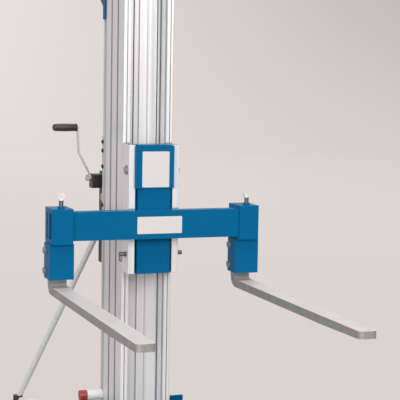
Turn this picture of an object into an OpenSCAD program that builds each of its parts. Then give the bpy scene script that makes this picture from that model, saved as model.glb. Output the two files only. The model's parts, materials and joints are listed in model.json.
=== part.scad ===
// Hand-cranked material hoist: three telescoping mast columns, a carriage with a fork frame, two sliding
// forks, a geared hand winch behind the mast, and a rolling base with rear braces.
// Millimetres, +Z up, forks towards -Y. The origin is on the floor, under the middle of the whole object.

/* [Mast] */
// Outer width of a column
column_w = 188; // [176:1:204]
// Depth of a column, front to back
column_d = 79; // [76:1:90]
// Running gap between neighbouring columns
column_gap = 0.6; // [0.4:0.1:1]
// Length of a column
column_l = 1860; // [1800:10:2200]
// Radius of a column's outer corners
column_corner_r = 4; // [1:0.5:4.5]
// Width of a column's side tube
side_tube_w = 26; // [24:1:28]
// Wall of a column's side tube
tube_wall = 3.5; // [3:0.5:4]
// Thickness of a column's back web
web_t = 5; // [4:0.5:7]
// Width of the rib down the middle of the web
web_rib_w = 30; // [20:1:40]
// Height of that rib
web_rib_t = 3; // [2:0.5:5]
// Width of the guide track, front to back
track_w = 16; // [14:1:18]
// Depth of the guide track
track_d = 9; // [7:0.5:10]
// Distance of the guide track from the column's front
track_inset = 6; // [5:0.5:8]
// Width of the trim groove in a side tube's front
trim_groove_w = 2.5; // [2:0.5:4]
// Depth of the trim groove
trim_groove_d = 1.2; // [0.8:0.2:1.6]
// Distance of the trim groove from the column's side
trim_groove_inset = 14; // [12:1:16]
// Depth of the recess before the rear rail's lip
rail_neck_d = 18; // [14:1:22]
// Depth of the rear rail's lip
rail_lip_d = 13; // [11:1:16]
// How far the recess goes in from the column's side
rail_setback = 14; // [10:1:16]
// Width of a rear rail's lip
rail_w = 32; // [28:1:34]

/* [Cables and sheaves] */
// Diameter of the lift cable
cable_d = 5; // [4:0.5:6]
// Distance between the left and the right cable
cable_spread = 90; // [84:1:94]
// Width of a sheave
sheave_w = 10; // [9:0.5:12]
// Gap between cable and sheave groove
cable_seat_gap = 0.3; // [0.2:0.1:0.5]
// Radius of a sheave's axle
axle_r = 6; // [5:0.5:8]
// Running clearance of shafts and axles in their bores
run_fit = 0.05; // [0.02:0.01:0.1]
// Thickness of the cheeks beside a sheave
cheek_t = 4; // [3:0.5:5]
// Side gap between sheave and cheek
cheek_gap = 0.5; // [0.3:0.1:1]
// Gap between the cable and the back of the column's web
cable_web_gap = 2.9; // [2.5:0.1:4]
// Height of a head sheave's axle over the column's top
head_rise = 30; // [28:1:45]
// Height of a foot sheave's axle over the column's bottom
foot_rise = 35; // [30:1:60]

/* [Guide shoes] */
// Height of a guide shoe
shoe_h = 60; // [40:1:80]
// Sliding gap between shoe and track
shoe_gap = 0.5; // [0.3:0.1:0.8]
// Width of a shoe's block beside the track
shoe_block_w = 11; // [8:0.5:11]
// Height of the upper shoe over the lower one
shoe_step = 290; // [200:5:320]
// Height of the lower shoe over its column's bottom
shoe_rise = 20; // [10:1:60]

/* [Carriage] */
// Height of the cross beam's middle over the floor
beam_z = 850; // [800:5:1000]
// Carriage bottom, below the beam's middle
carriage_below = 182; // [178:1:260]
// Carriage top, above the beam's middle
carriage_above = 281; // [260:1:320]
// Depth of the carriage
carriage_d = 74.5; // [70:0.5:80]
// Width of the carriage's front lips
carriage_lip_w = 24; // [20:1:26]
// Thickness of the carriage's web
carriage_web_t = 6; // [5:0.5:8]
// Distance of the carriage's shoes from its ends
carriage_shoe_inset = 12; // [5:1:40]
// Height of the cable lugs below the carriage's top
cable_lug_drop = 50; // [40:1:80]
// Thickness of a cable lug
cable_lug_t = 15; // [10:1:20]
// Width of a cable lug
cable_lug_w = 18; // [16:1:20]
// Radius of the threaded stud on a cable's end
stud_r = 4; // [3:0.5:5]
// Length of the sleeve pressed on a cable's end
cable_sleeve_l = 40; // [30:1:60]
// Radius of the bolt and of the retaining pin through the carriage
pin_r = 8; // [6:0.5:9]
// Distance of that bolt and pin behind the carriage's front
pin_inset = 30; // [24:1:40]
// Height of the bolt over the beam's middle
bolt_above = 190; // [160:1:240]
// Depth of the retaining pin below the beam's middle
pin_below = 113; // [90:1:150]
// How far the pin and the bolt stand out of the carriage's sides
pin_proud = 24; // [16:1:28]
// Outer radius of the ring on the retaining pin
ring_r = 15; // [12:0.5:18]
// Radius of that ring's wire
ring_wire_r = 2; // [1.5:0.5:3]

/* [Fork frame] */
// Width of the tongue
tongue_w = 123; // [110:1:130]
// How far the tongue stands out of the carriage
tongue_proud = 5; // [3:0.5:10]
// Wall of the tongue
tongue_wall = 6; // [4:0.5:8]
// Width of the face plate
face_plate_w = 142; // [125:1:150]
// Height of the face plate
face_plate_h = 152; // [120:1:153]
// Thickness of the face plate
face_plate_t = 8; // [5:0.5:10]
// Top of the face plate below the carriage's top
face_plate_drop = 3; // [0:1:10]
// Length of the cross beam
beam_l = 770; // [700:1:820]
// Height of the cross beam
beam_h = 101; // [90:1:110]
// Depth of the cross beam
beam_d = 46; // [40:1:55]
// Wall of the cross beam
beam_wall = 5; // [4:0.5:7]

/* [Forks and brackets] */
// Distance of a fork's middle from the end of the beam
fork_inset = 38; // [38:0.5:44]
// Width of a fork
fork_w = 62; // [54:1:63]
// Thickness of a fork
fork_t = 27.6; // [24:0.2:30]
// Length of a fork, from the back of its heel
fork_l = 1058; // [700:1:1150]
// Top of a fork below the beam's middle
fork_drop = 215.6; // [212:0.1:240]
// Back of a fork's shank, in front of the mast
fork_setback = 37; // [34:0.5:40]
// Outer radius of a fork's heel
heel_r = 45; // [35:1:55]
// Length of the taper under a fork's tip
tip_taper_l = 260; // [150:10:350]
// Height of that taper
tip_taper_h = 4; // [2:0.5:14]
// Corner radius of a fork's tip
tip_r = 18; // [10:1:24]
// Sliding gap between bracket and beam
bracket_gap = 0.6; // [0.4:0.1:0.8]
// Wall of the bracket's sleeve over and under the beam
sleeve_wall = 11; // [8:0.5:13]
// Wall of the bracket's sleeve in front of the beam
sleeve_front_t = 6; // [5:0.5:13]
// Side wall of the bracket beside the fork
bracket_side = 5.5; // [4:0.5:6]
// Gap between the fork's shank and its pocket
shank_gap = 0.4; // [0.2:0.1:0.8]
// Thickness of the wall behind the shank
pocket_back = 14; // [8:0.5:15]
// Bottom of the bracket below the beam's middle
bracket_drop = 187; // [175:1:195]
// Thickness of the cheek plates on the bracket's lower box
box_cheek = 7; // [5:0.5:11]
// Setback of the lower box behind the sleeve's front
box_setback = 16; // [2:0.5:18]
// Radius of the bolts through the fork's shank
fork_bolt_r = 7; // [5:0.5:9]
// Height of the lower fork bolt over the bracket's bottom
fork_bolt_rise = 26; // [20:1:36]
// Distance between the fork bolts
fork_bolt_step = 72; // [60:1:80]
// Height of a bolt head
bolt_head_h = 7; // [5:0.5:8]
// How far the tongue bolt's end stands past its nut
bolt_end = 3; // [2:0.5:6]
// Radius of the lock screw
lock_screw_r = 8; // [6:0.5:9]
// Height of the nut on the bracket's top
lock_nut_h = 8; // [6:0.5:14]
// Height of the lock screw's stem over that nut
lock_stem_h = 24; // [16:0.5:32]
// Radius of the lock screw's thumb plate
thumb_r = 13; // [11:0.5:16]
// Thickness of the thumb plate
thumb_t = 7; // [5:0.5:9]

/* [Winch] */
// Height of the crank shaft over the floor
crank_z = 979; // [960:1:1020]
// Distance of the crank shaft behind the rear rails
winch_reach = 81; // [72:1:95]
// Teeth of the pinion
pinion_teeth = 12; // [12]
// Teeth of the drum gear
gear_teeth = 48; // [48]
// Tooth size, pitch diameter per tooth
gear_module = 2.5; // [2.4:0.05:2.6]
// Play on each flank of the teeth
gear_play = 0.3; // [0.2:0.05:0.4]
// Face width of the drum gear
gear_w = 8; // [7:0.5:8]
// Thickness of the winch frame's plates
winch_plate_t = 5; // [4:0.5:6]
// Outer width of the winch frame
winch_w = 132; // [130:1:140]
// Bottom of the winch's back plate over the floor
winch_bottom = 853; // [840:1:860]
// Top of the winch's back plate over the floor
winch_top = 1145; // [1130:1:1200]
// Radius of the drum's core
drum_core_r = 36; // [32:0.5:38]
// Radius of the drum's flanges
drum_flange_r = 56; // [52:0.5:56.5]
// Thickness of a drum flange
drum_flange_t = 4; // [3:0.5:5]
// Loops of cable wound on each half of the drum
drum_loops = 6; // [4:1:7]
// Step from loop to loop
loop_pitch = 5.6; // [5.5:0.1:6]
// Radius of the drum's shaft
drum_shaft_r = 10; // [8:0.5:12]
// Radius of the crank shaft
crank_shaft_r = 8; // [7:0.5:9]
// Length of the brake cover
brake_cover_l = 51; // [46:1:60]
// Width of the brake cover, front to back
brake_cover_w = 48; // [44:1:60]
// Height of the brake cover
brake_cover_h = 54; // [48:1:60]
// Top of the brake cover over the crank shaft
brake_cover_rise = 16; // [14:1:22]
// Corner radius of the brake cover
brake_cover_r = 7; // [4:0.5:10]
// Wall of the brake cover
brake_cover_wall = 3; // [2:0.5:4]
// Radius of the crank's hub
crank_hub_r = 12; // [11:0.5:16]
// Length of the crank's hub
crank_hub_l = 10; // [9:0.5:16]
// Radius of the nut on the crank shaft
crank_nut_r = 12; // [11:0.5:14]
// Thickness of that nut
crank_nut_l = 7; // [5:0.5:10]
// Reach of the crank, from its shaft to its grip
crank_reach = 194; // [160:1:220]
// Height of the crank arm's bend over its shaft
crank_bend = 97; // [80:1:130]
// How far the crank arm leans out up to its bend
crank_lean = 42; // [25:1:55]
// How far it leans out from its bend to its grip
crank_lean_top = 6; // [3:0.5:12]
// Thickness of the crank arm
crank_arm_t = 6; // [5:0.5:9]
// Width of the crank arm
crank_arm_w = 16; // [14:1:22]
// Radius of the grip
grip_r = 15; // [12:0.5:16]
// Length of the grip
grip_l = 95; // [80:1:120]
// Radius of the grip's spindle
spindle_r = 5; // [4:0.5:6]

/* [Base] */
// Height of the base plate's top over the floor
base_top = 100; // [98:1:110]
// Thickness of the base plate
base_plate_t = 8; // [6:0.5:10]
// Height of the cross members under the plate
cross_h = 40; // [36:1:44]
// Distance of a leg's middle from the mast's middle
leg_x = 164; // [155:1:175]
// Outer size of a leg's socket
socket_size = 50; // [46:1:54]
// Wall of a leg's socket
socket_wall = 4; // [3:0.5:5]
// Gap between a leg and its socket
leg_gap = 0.2; // [0.1:0.1:0.4]
// Front of the sockets, in front of the mast
socket_front = 60; // [40:1:100]
// Back of the sockets, behind the mast's front
socket_back = 125; // [115:1:140]
// Height of the lug plates over the base plate's top
lug_rise = 62; // [55:1:70]
// Thickness of the lug plates
lug_t = 10; // [6:1:14]
// Reach of the legs in front of the mast
leg_reach = 830; // [700:10:950]
// Radius of the pins that hold the legs
leg_pin_r = 6; // [5:0.5:8]
// Radius of the front wheels
caster_r = 36; // [30:1:37]
// Width of the front wheels
caster_w = 28; // [24:1:32]
// Trail of the front wheels behind their swivel
caster_trail = 24; // [18:1:28]
// Radius of the swivel pins
kingpin_r = 8; // [6:0.5:9]
// Radius of the rear wheels
rear_wheel_r = 50; // [44:1:55]
// Width of the rear wheels
rear_wheel_w = 38; // [30:1:44]
// Distance of a rear wheel's middle from the mast's middle
rear_wheel_x = 150; // [145:1:165]
// Place of the rear wheels behind the mast's front
rear_wheel_y = 240; // [235:1:260]
// Radius of the rear wheels' stub axles
stub_r = 10; // [8:0.5:12]

/* [Braces] */
// Radius of the brace tubes
brace_r = 11.5; // [10:0.5:14]
// Upper end of a brace, below the winch's side plates
brace_drop = 37; // [32:1:90]
// Length of a brace bracket
brace_bracket_l = 165; // [100:1:200]
// Wall of a brace bracket
brace_bracket_wall = 5; // [4:0.5:7]
// How far a brace bracket reaches over the brace's upper end
brace_bracket_rise = 20; // [16:1:26]
// Sideways place of a brace's foot
foot_x = 310; // [280:1:345]
// Place of the feet behind the mast's front
foot_y = 760; // [650:1:800]
// Bottom of a brace's foot sleeve over the floor
foot_z = 14; // [13:1:30]
// Length of that sleeve
foot_sleeve_h = 28; // [24:1:60]
// Radius of that sleeve
sleeve_r = 20; // [17:0.5:24]
// Radius of the stem in that sleeve
foot_stem_r = 9; // [7:0.5:11]
// Radius of a rubber foot
foot_r = 35; // [28:1:40]
// Thickness of a rubber foot
foot_t = 12; // [8:1:12]
// Radius of the tie tubes to the base
tie_r = 11; // [9:0.5:13]

/* [Handle and lock] */
// Bottom of the rear handle over the floor
handle_bottom = 1583; // [1540:1:1600]
// Height of the rear handle's plates
handle_h = 190; // [140:1:220]
// Reach of the rear handle behind the mast
handle_reach = 84; // [70:1:110]
// Thickness of the rear handle's plates
handle_plate_t = 4; // [3:0.5:6]
// Radius of the rear handle's tube
handle_tube_r = 14; // [11:0.5:16]
// Height of that tube over the plates' bottom
handle_tube_rise = 123; // [100:1:150]
// Radius of the plates' round ends at that tube
handle_end_r = 28; // [22:1:34]
// Height over the plates' bottom at which their arms begin
handle_arm_rise = 48; // [20:1:70]
// Height of the mast lock over the floor
lock_z = 153; // [145:1:165]
// Place of the mast lock behind the mast's front
lock_y = 250; // [210:1:255]
// Radius of the mast lock
lock_r = 20; // [16:0.5:22]
// Length of the lock's collar
lock_collar_l = 60; // [50:1:70]
// Length of the lock's cap
lock_cap_l = 28; // [20:1:34]
// Radius of the lock's plunger
plunger_r = 7; // [5:0.5:9]

/* [Hidden] */
$fn = 48;
SIDES = [-1, 1];
WOUND_SIDES = 6;
WOUND_RINGS = 24;
HEX = 6;
PRESSURE_ANGLE = 20;
cut = 1;
touch = 0.2;
// How far a collar, ring or nut stands out around its shaft
collar_edge = 5;

// Mast stations: column 3 is the front one, with its front at y = 0
column_pitch = column_d + column_gap;
channel_w = column_w - 2 * side_tube_w;
function column_y(k) = (3 - k) * column_pitch;
mast_back = column_y(1) + column_d;
rail_back = mast_back + rail_neck_d + rail_lip_d;
column_z = base_top;
column_top = column_z + column_l;
rail_in = column_w / 2 - rail_w;

// Cable stations: with this radius every run between two sheaves is upright
sheave_pitch_r = column_pitch / 4;
sheave_r = sheave_pitch_r + cable_d / 2;
cable_r = cable_d / 2;
cable_x = cable_spread / 2;
groove_r = cable_r + cable_seat_gap;
head_z = column_top + head_rise;
foot_axle_z = column_z + foot_rise;
back_run_offset = column_d + cable_web_gap + cable_r;
function back_run_y(k) = column_y(k) + back_run_offset;
function head_y(k) = back_run_y(k) - sheave_pitch_r;
function foot_sheave_y(k) = back_run_y(k) + sheave_pitch_r;
function front_run_y(k) = back_run_y(k) - 2 * sheave_pitch_r;

// Carriage and fork frame stations
carriage_back = -column_gap;
carriage_front = carriage_back - carriage_d;
carriage_z0 = beam_z - carriage_below;
carriage_z1 = beam_z + carriage_above;
carriage_opening = column_w - 2 * carriage_lip_w;
pin_y = carriage_front + pin_inset;
pin_z = beam_z - pin_below;
bolt_z = beam_z + bolt_above;
cable_lug_z = carriage_z1 - cable_lug_drop;
tongue_back = carriage_back - carriage_web_t;
tongue_front = carriage_front - tongue_proud;
beam_back = tongue_front;
beam_front = beam_back - beam_d;
beam_top = beam_z + beam_h / 2;
beam_bottom = beam_z - beam_h / 2;

// Fork and bracket stations, for the right-hand side
fork_x = beam_l / 2 - fork_inset;
fork_back = -fork_setback;
blade_top = beam_z - fork_drop;
blade_bottom = blade_top - fork_t;
fork_tip = fork_back - fork_l;
bracket_z0 = beam_z - bracket_drop;
bracket_z1 = beam_top + bracket_gap + sleeve_wall;
bracket_half = fork_w / 2 + shank_gap + bracket_side;
box_half = bracket_half + box_cheek;
sleeve_front = beam_front - bracket_gap - sleeve_front_t;
pocket_y0 = fork_back - fork_t - shank_gap;
pocket_y1 = fork_back + shank_gap;
bracket_back = pocket_y1 + pocket_back;
shank_top = bracket_z1 - sleeve_wall;
box_front = sleeve_front + box_setback;
box_z1 = beam_bottom - bracket_gap;
fork_bolt_y = fork_back - fork_t / 2;
fork_bolt_z0 = bracket_z0 + fork_bolt_rise;
lock_screw_y = (beam_front + beam_back) / 2;
HEX_HEAD = 1.7;
bolt_head_r = fork_bolt_r * HEX_HEAD;
pin_head_r = pin_r * HEX_HEAD;
lock_nut_r = lock_screw_r * HEX_HEAD;
lock_stem_top = bracket_z1 + lock_nut_h + lock_stem_h;

// Winch stations
winch_y = rail_back + winch_reach;
gear_distance = gear_module * (pinion_teeth + gear_teeth) / 2;
drum_z = crank_z - gear_distance;
winch_side = winch_w / 2;
winch_inner = winch_side - winch_plate_t;
winch_skirt = 6;
winch_brow = 24;
winch_corner_r = 12;
winch_plate_z0 = drum_z - drum_flange_r - winch_skirt;
winch_plate_z1 = crank_z + winch_brow;
winch_plate_back = winch_y + drum_flange_r + winch_skirt;
play = 1;
gear_x0 = -winch_inner + play;
gear_x1 = gear_x0 + gear_w;
drum_x0 = gear_x1 + drum_flange_t;
drum_x1 = winch_inner - play - drum_flange_t;
// The winding's straight facets stay clear of the core
wound_sag = drum_core_r * (1 - cos(180 / WOUND_RINGS));
wound_r = drum_core_r + cable_r + wound_sag + touch;
lead_gap = 0.8;
lead_r = wound_r + cable_d + lead_gap;
flange_gap = 0.4;
loop_edge = cable_r + flange_gap;
lead_x = [drum_x0 + loop_edge, drum_x1 - loop_edge];
brake_x1 = -winch_side - touch;
brake_x0 = brake_x1 - brake_cover_l;
hub_x1 = brake_x0 - play;
hub_x0 = hub_x1 - crank_hub_l;
grip_z = crank_z + crank_reach;
arm_x = (hub_x0 + hub_x1) / 2;
arm_bend_x = arm_x - crank_lean;
arm_top_x = arm_bend_x - crank_lean_top;
grip_x1 = arm_top_x - crank_arm_t / 2 - play / 2;
grip_x0 = grip_x1 - grip_l;
grip_cap = 4;

// Base and brace stations
cross_top = base_top - base_plate_t;
socket_z0 = cross_top;
leg_size = socket_size - 2 * socket_wall - 2 * leg_gap;
leg_z0 = socket_z0 + socket_wall + leg_gap;
leg_front = -leg_reach;
caster_plate_t = 6;
caster_plate_half = 28;
caster_inset = 6;
caster_y = leg_front + caster_plate_half + caster_inset;
caster_plate_z = leg_z0 - caster_plate_t;
swivel_t = 7;
swivel_gap = 0.3;
swivel_z = caster_plate_z - swivel_t - swivel_gap;
caster_fork_t = 4;
caster_axle_r = 6;
rear_wheel_gap = 8;
rear_cross_half = rear_wheel_x - rear_wheel_w / 2 - rear_wheel_gap;
brace_setback = 34;
brace_bracket_d = 46;
brace_top = winch_plate_z0 - brace_drop;
brace_bracket_z1 = brace_top + brace_bracket_rise;
brace_from = [column_w / 2 - rail_w / 4, rail_back + brace_setback, brace_top];
brace_to = [foot_x, foot_y, foot_z + foot_sleeve_h / 2];
rear_cross_d = 56;
rear_cross_skirt = 6;
rear_cross_bottom = rear_wheel_r - stub_r - rear_cross_skirt;
rear_cross_low = [-rear_cross_half, rear_wheel_y - rear_cross_d / 2, rear_cross_bottom];
rear_cross_high = [rear_cross_half, rear_wheel_y + rear_cross_d / 2, cross_top];
tie_edge = 7;
tie_from = [rear_cross_half - 2 * tie_r - tie_edge, rear_cross_high.y - tie_r, cross_top - tie_r - tie_edge];
tie_to = [foot_x, foot_y, foot_z + tie_r + touch];
foot_cap_t = 8;
foot_stem_top = foot_z + foot_sleeve_h - foot_cap_t;
foot_collar_r = foot_stem_r + collar_edge;

// The whole object's box, which sets the origin
front_end = fork_tip;
rear_end = foot_y + foot_r;
origin_y = (front_end + rear_end) / 2;

BLUE = [0.05, 0.40, 0.61];
ALUMINIUM = [0.83, 0.83, 0.84];
ZINC = [0.72, 0.73, 0.74];
BLACK = [0.08, 0.08, 0.09];
NYLON = [0.92, 0.91, 0.87];
CABLE = [0.42, 0.43, 0.45];
RED = [0.74, 0.16, 0.16];

// Moves the mast's own stations to the object's origin
module place() translate([0, -origin_y, 0]) children();

module for_side(side) mirror([side < 0 ? 1 : 0, 0, 0]) children();

module block(low, high) translate(low) cube(high - low);

module cyl_x(x0, x1, y, z, r) translate([x0, y, z]) rotate([0, 90, 0]) cylinder(h = x1 - x0, r = r);

module cyl_z(x, y, z0, z1, r) translate([x, y, z0]) cylinder(h = z1 - z0, r = r);

module hex_x(x0, x1, y, z, r)
    translate([x0, y, z]) rotate([0, 90, 0]) cylinder(h = x1 - x0, r = r, $fn = HEX);

module hex_z(x, y, z0, z1, r) translate([x, y, z0]) cylinder(h = z1 - z0, r = r, $fn = HEX);

// Round bar between two points
module rod(from, to, r) {
    run = to - from;
    long = norm(run);
    translate(from) rotate([0, acos(run.z / long), atan2(run.y, run.x)]) cylinder(h = long, r = r);
}

// Outline given as (y, z), extruded from x0 to x1
module along_x(x0, x1) translate([x0, 0, 0]) rotate([90, 0, 90]) linear_extrude(x1 - x0) children();

// Outline given as (x, z), extruded from y0 to y1
module along_y(y0, y1) translate([0, y1, 0]) rotate([90, 0, 0]) linear_extrude(y1 - y0) children();

module rounded_rect(low, high, r) {
    translate([low.x + r, low.y]) square([high.x - low.x - 2 * r, high.y - low.y]);
    translate([low.x, low.y + r]) square([high.x - low.x, high.y - low.y - 2 * r]);
    for (x = [low.x + r, high.x - r], y = [low.y + r, high.y - r]) translate([x, y]) circle(r = r);
}

// Part of a ring of cable around an axle along X; angles count from +Y towards +Z
module cable_arc(x, y, z, r, from, sweep)
    translate([x, y, z]) rotate([90, 0, 90]) rotate([0, 0, from])
        rotate_extrude(angle = sweep) translate([r, 0]) circle(r = cable_r);

// Mast columns

module side_tube_cuts() {
    // Guide track in the tube's inner face
    translate([channel_w / 2 - cut, track_inset]) square([track_d + cut, track_w]);
    // Hollow beside the track, then behind it
    translate([channel_w / 2 + track_d + tube_wall, tube_wall])
        square([side_tube_w - track_d - 2 * tube_wall, track_inset + track_w + cut]);
    translate([channel_w / 2 + tube_wall, track_inset + track_w + tube_wall])
        square([side_tube_w - 2 * tube_wall, column_d - track_inset - track_w - 2 * tube_wall]);
    // Trim groove in the front
    translate([column_w / 2 - trim_groove_inset, -cut]) square([trim_groove_w, trim_groove_d + cut]);
}

module column_outline() {
    difference() {
        rounded_rect([-column_w / 2, 0], [column_w / 2, column_d], column_corner_r);
        translate([-channel_w / 2, -cut]) square([channel_w, column_d - web_t + cut]);
        for (side = SIDES) mirror([side < 0 ? 1 : 0, 0]) side_tube_cuts();
    }
    translate([-web_rib_w / 2, column_d - web_t - web_rib_t]) square([web_rib_w, web_t + web_rib_t]);
}

module rear_rail_outline() {
    translate([rail_in, column_d - cut]) square([rail_w - rail_setback, rail_neck_d + 2 * cut]);
    translate([rail_in, column_d + rail_neck_d]) square([rail_w, rail_lip_d]);
}

module column_solid(k)
    translate([0, column_y(k), column_z]) linear_extrude(column_l) column_outline();

module column_1()
    color(ALUMINIUM) place() translate([0, column_y(1), column_z]) linear_extrude(column_l) {
        column_outline();
        for (side = SIDES) mirror([side < 0 ? 1 : 0, 0]) rear_rail_outline();
    }

module column_2() color(ALUMINIUM) place() column_solid(2);

module column_3() color(ALUMINIUM) place() column_solid(3);

// Sheaves and what carries them

cheek_offset = sheave_w / 2 + cheek_gap;
cheek_half = 14;
cheek_tab_d = 18;
cheek_tab_h = 30;

module on_cheeks() for (side = SIDES, edge = SIDES)
    translate([side * cable_x + (edge > 0 ? cheek_offset : -cheek_offset - cheek_t), 0, 0]) children();

module head_cheeks(k) {
    web_front = column_y(k) + column_d - web_t;
    on_cheeks() along_x(0, cheek_t) {
        translate([web_front - cheek_tab_d, column_top - cheek_tab_h])
            square([cheek_tab_d, cheek_tab_h + cut]);
        translate([head_y(k) - cheek_half, column_top]) square([2 * cheek_half, head_rise]);
        translate([head_y(k), head_z]) circle(r = cheek_half);
    }
    sheave_axles(head_y(k), head_z);
}

module foot_cheeks(k) {
    web_rear = column_y(k) + column_d;
    y = foot_sheave_y(k);
    on_cheeks() along_x(0, cheek_t) {
        translate([web_rear, foot_axle_z - cheek_half]) square([y - web_rear, 2 * cheek_half]);
        translate([y, foot_axle_z]) circle(r = cheek_half);
    }
    sheave_axles(y, foot_axle_z);
}

module sheave_axles(y, z) for (side = SIDES)
    cyl_x(side * cable_x - cheek_offset - cut, side * cable_x + cheek_offset + cut, y, z, axle_r);

module column_1_head() color(ZINC) place() head_cheeks(1);

module column_2_brackets() color(ZINC) place() {
    head_cheeks(2);
    foot_cheeks(2);
}

module column_3_brackets() color(ZINC) place() {
    head_cheeks(3);
    foot_cheeks(3);
}

module sheave_outline() difference() {
    translate([axle_r + run_fit, -sheave_w / 2]) square([sheave_r - axle_r - run_fit, sheave_w]);
    translate([sheave_pitch_r, 0]) circle(r = groove_r);
    translate([sheave_pitch_r, -groove_r]) square([cable_d, 2 * groove_r]);
}

module sheave_pair(y, z) for (side = SIDES)
    translate([side * cable_x, y, z]) rotate([0, 90, 0]) rotate_extrude() sheave_outline();

module head_1_sheaves() color(BLACK) place() sheave_pair(head_y(1), head_z);

module head_2_sheaves() color(BLACK) place() sheave_pair(head_y(2), head_z);

module head_3_sheaves() color(BLACK) place() sheave_pair(head_y(3), head_z);

module foot_2_sheaves() color(BLACK) place() sheave_pair(foot_sheave_y(2), foot_axle_z);

module foot_3_sheaves() color(BLACK) place() sheave_pair(foot_sheave_y(3), foot_axle_z);

// Guide shoes: a block on the back of the piece in front, with a lip in the track behind it

module shoe_pair(back_y, track_front, z) {
    lip_y = track_front + track_inset + shoe_gap;
    wall_x = channel_w / 2 - shoe_gap;
    for (side = SIDES) for_side(side) {
        block([wall_x - shoe_block_w, back_y, z], [wall_x, track_front + track_inset + track_w, z + shoe_h]);
        block([wall_x - touch, lip_y, z],
              [channel_w / 2 + track_d - shoe_gap, lip_y + track_w - 2 * shoe_gap, z + shoe_h]);
    }
}

module column_shoes(k) for (step = [0, shoe_step])
    shoe_pair(column_y(k) + column_d, column_y(k - 1), column_z + shoe_rise + step);

module column_2_shoes() color(NYLON) place() column_shoes(2);

module column_3_shoes() color(NYLON) place() column_shoes(3);

module carriage_shoes() color(NYLON) place()
    for (z = [carriage_z0 + carriage_shoe_inset, carriage_z1 - carriage_shoe_inset - shoe_h])
        shoe_pair(carriage_back, column_y(3), z);

// Lift cables, left and right, from the drum over every head and under every foot to the carriage

// The run from head 1 to the drum crosses from the back of one to the front of the other
lead_run = [winch_y - head_y(1), drum_z - head_z];
lead_turn = atan2(lead_run.y, lead_run.x) + acos((sheave_pitch_r + lead_r) / norm(lead_run));
lead_sweep = 130;
// The straight run is this much thinner than its bends, which it laps into
lead_seam = 0.02;

module winch_cables() color(CABLE) place() for (side = SIDES) {
    x = side * cable_x;
    out = [0, cos(lead_turn), sin(lead_turn)];
    top = [x, head_y(1), head_z] + sheave_pitch_r * out;
    bottom = [x, winch_y, drum_z] - lead_r * out;
    lap = touch * (top - bottom) / norm(top - bottom);
    cable_arc(x, head_y(1), head_z, sheave_pitch_r, lead_turn, 180 - lead_turn);
    rod(bottom - lap, top + lap, cable_r - lead_seam);
    cable_arc(x, winch_y, drum_z, lead_r, 180 + lead_turn, lead_sweep);
}

module stage_cables(k) for (side = SIDES) {
    x = side * cable_x;
    cable_arc(x, head_y(k), head_z, sheave_pitch_r, 0, 180);
    cyl_z(x, back_run_y(k), foot_axle_z, head_z, cable_r);
    cable_arc(x, foot_sheave_y(k), foot_axle_z, sheave_pitch_r, 180, 180);
    cyl_z(x, front_run_y(k - 1), foot_axle_z, head_z, cable_r);
}

module stage_2_cables() color(CABLE) place() stage_cables(2);

module stage_3_cables() color(CABLE) place() stage_cables(3);

stud_below = 14;
stud_nut_t = 8;
cable_sleeve_wall = 2.5;
cable_sleeve_r = cable_r + cable_sleeve_wall;

module carriage_cables() color(CABLE) place() for (side = SIDES) {
    x = side * cable_x;
    y = front_run_y(3);
    cyl_z(x, y, cable_lug_z, head_z, cable_r);
    cyl_z(x, y, cable_lug_z, cable_lug_z + cable_sleeve_l, cable_sleeve_r);
    cyl_z(x, y, cable_lug_z - cable_lug_t - stud_below, cable_lug_z, stud_r);
    hex_z(x, y, cable_lug_z - cable_lug_t - stud_nut_t, cable_lug_z - cable_lug_t, stud_r * 2);
}

// Carriage and fork frame

module carriage_outline() difference() {
    translate([-column_w / 2, carriage_front]) square([column_w, carriage_d]);
    translate([-carriage_opening / 2, carriage_front - cut])
        square([carriage_opening, carriage_d - carriage_web_t + cut]);
    for (side = SIDES) mirror([side < 0 ? 1 : 0, 0])
        translate([carriage_opening / 2 + tube_wall, carriage_front + tube_wall])
            square([carriage_lip_w - 2 * tube_wall, carriage_d - 2 * tube_wall]);
}

module cable_lug(side) {
    y = front_run_y(3);
    difference() {
        block([cable_x - cable_lug_w / 2, carriage_back - touch, cable_lug_z - cable_lug_t],
              [cable_x + cable_lug_w / 2, y + cable_lug_w / 2, cable_lug_z]);
        cyl_z(cable_x, y, cable_lug_z - cable_lug_t - cut, cable_lug_z + cut, stud_r + touch);
    }
}

module carriage_body() color(ALUMINIUM) place() {
    difference() {
        translate([0, 0, carriage_z0]) linear_extrude(carriage_z1 - carriage_z0) carriage_outline();
        for (z = [pin_z, bolt_z]) cyl_x(-column_w, column_w, pin_y, z, pin_r + run_fit);
    }
    for (side = SIDES) for_side(side) cable_lug(side);
}

module tongue() color(BLUE) place() difference() {
    block([-tongue_w / 2, tongue_front, carriage_z0], [tongue_w / 2, tongue_back, carriage_z1]);
    block([-tongue_w / 2 + tongue_wall, tongue_front + tongue_wall, carriage_z0 - cut],
          [tongue_w / 2 - tongue_wall, tongue_back - tongue_wall, carriage_z1 - tongue_wall]);
    for (z = [pin_z, bolt_z]) cyl_x(-tongue_w, tongue_w, pin_y, z, pin_r + run_fit);
}

module face_plate() color(BLUE) place()
    block([-face_plate_w / 2, tongue_front - face_plate_t, carriage_z1 - face_plate_drop - face_plate_h],
          [face_plate_w / 2, tongue_front, carriage_z1 - face_plate_drop]);

module cross_beam() color(BLUE) place() difference() {
    block([-beam_l / 2, beam_front, beam_bottom], [beam_l / 2, beam_back, beam_top]);
    block([-beam_l / 2 - cut, beam_front + beam_wall, beam_bottom + beam_wall],
          [beam_l / 2 + cut, beam_back - beam_wall, beam_top - beam_wall]);
}

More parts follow.
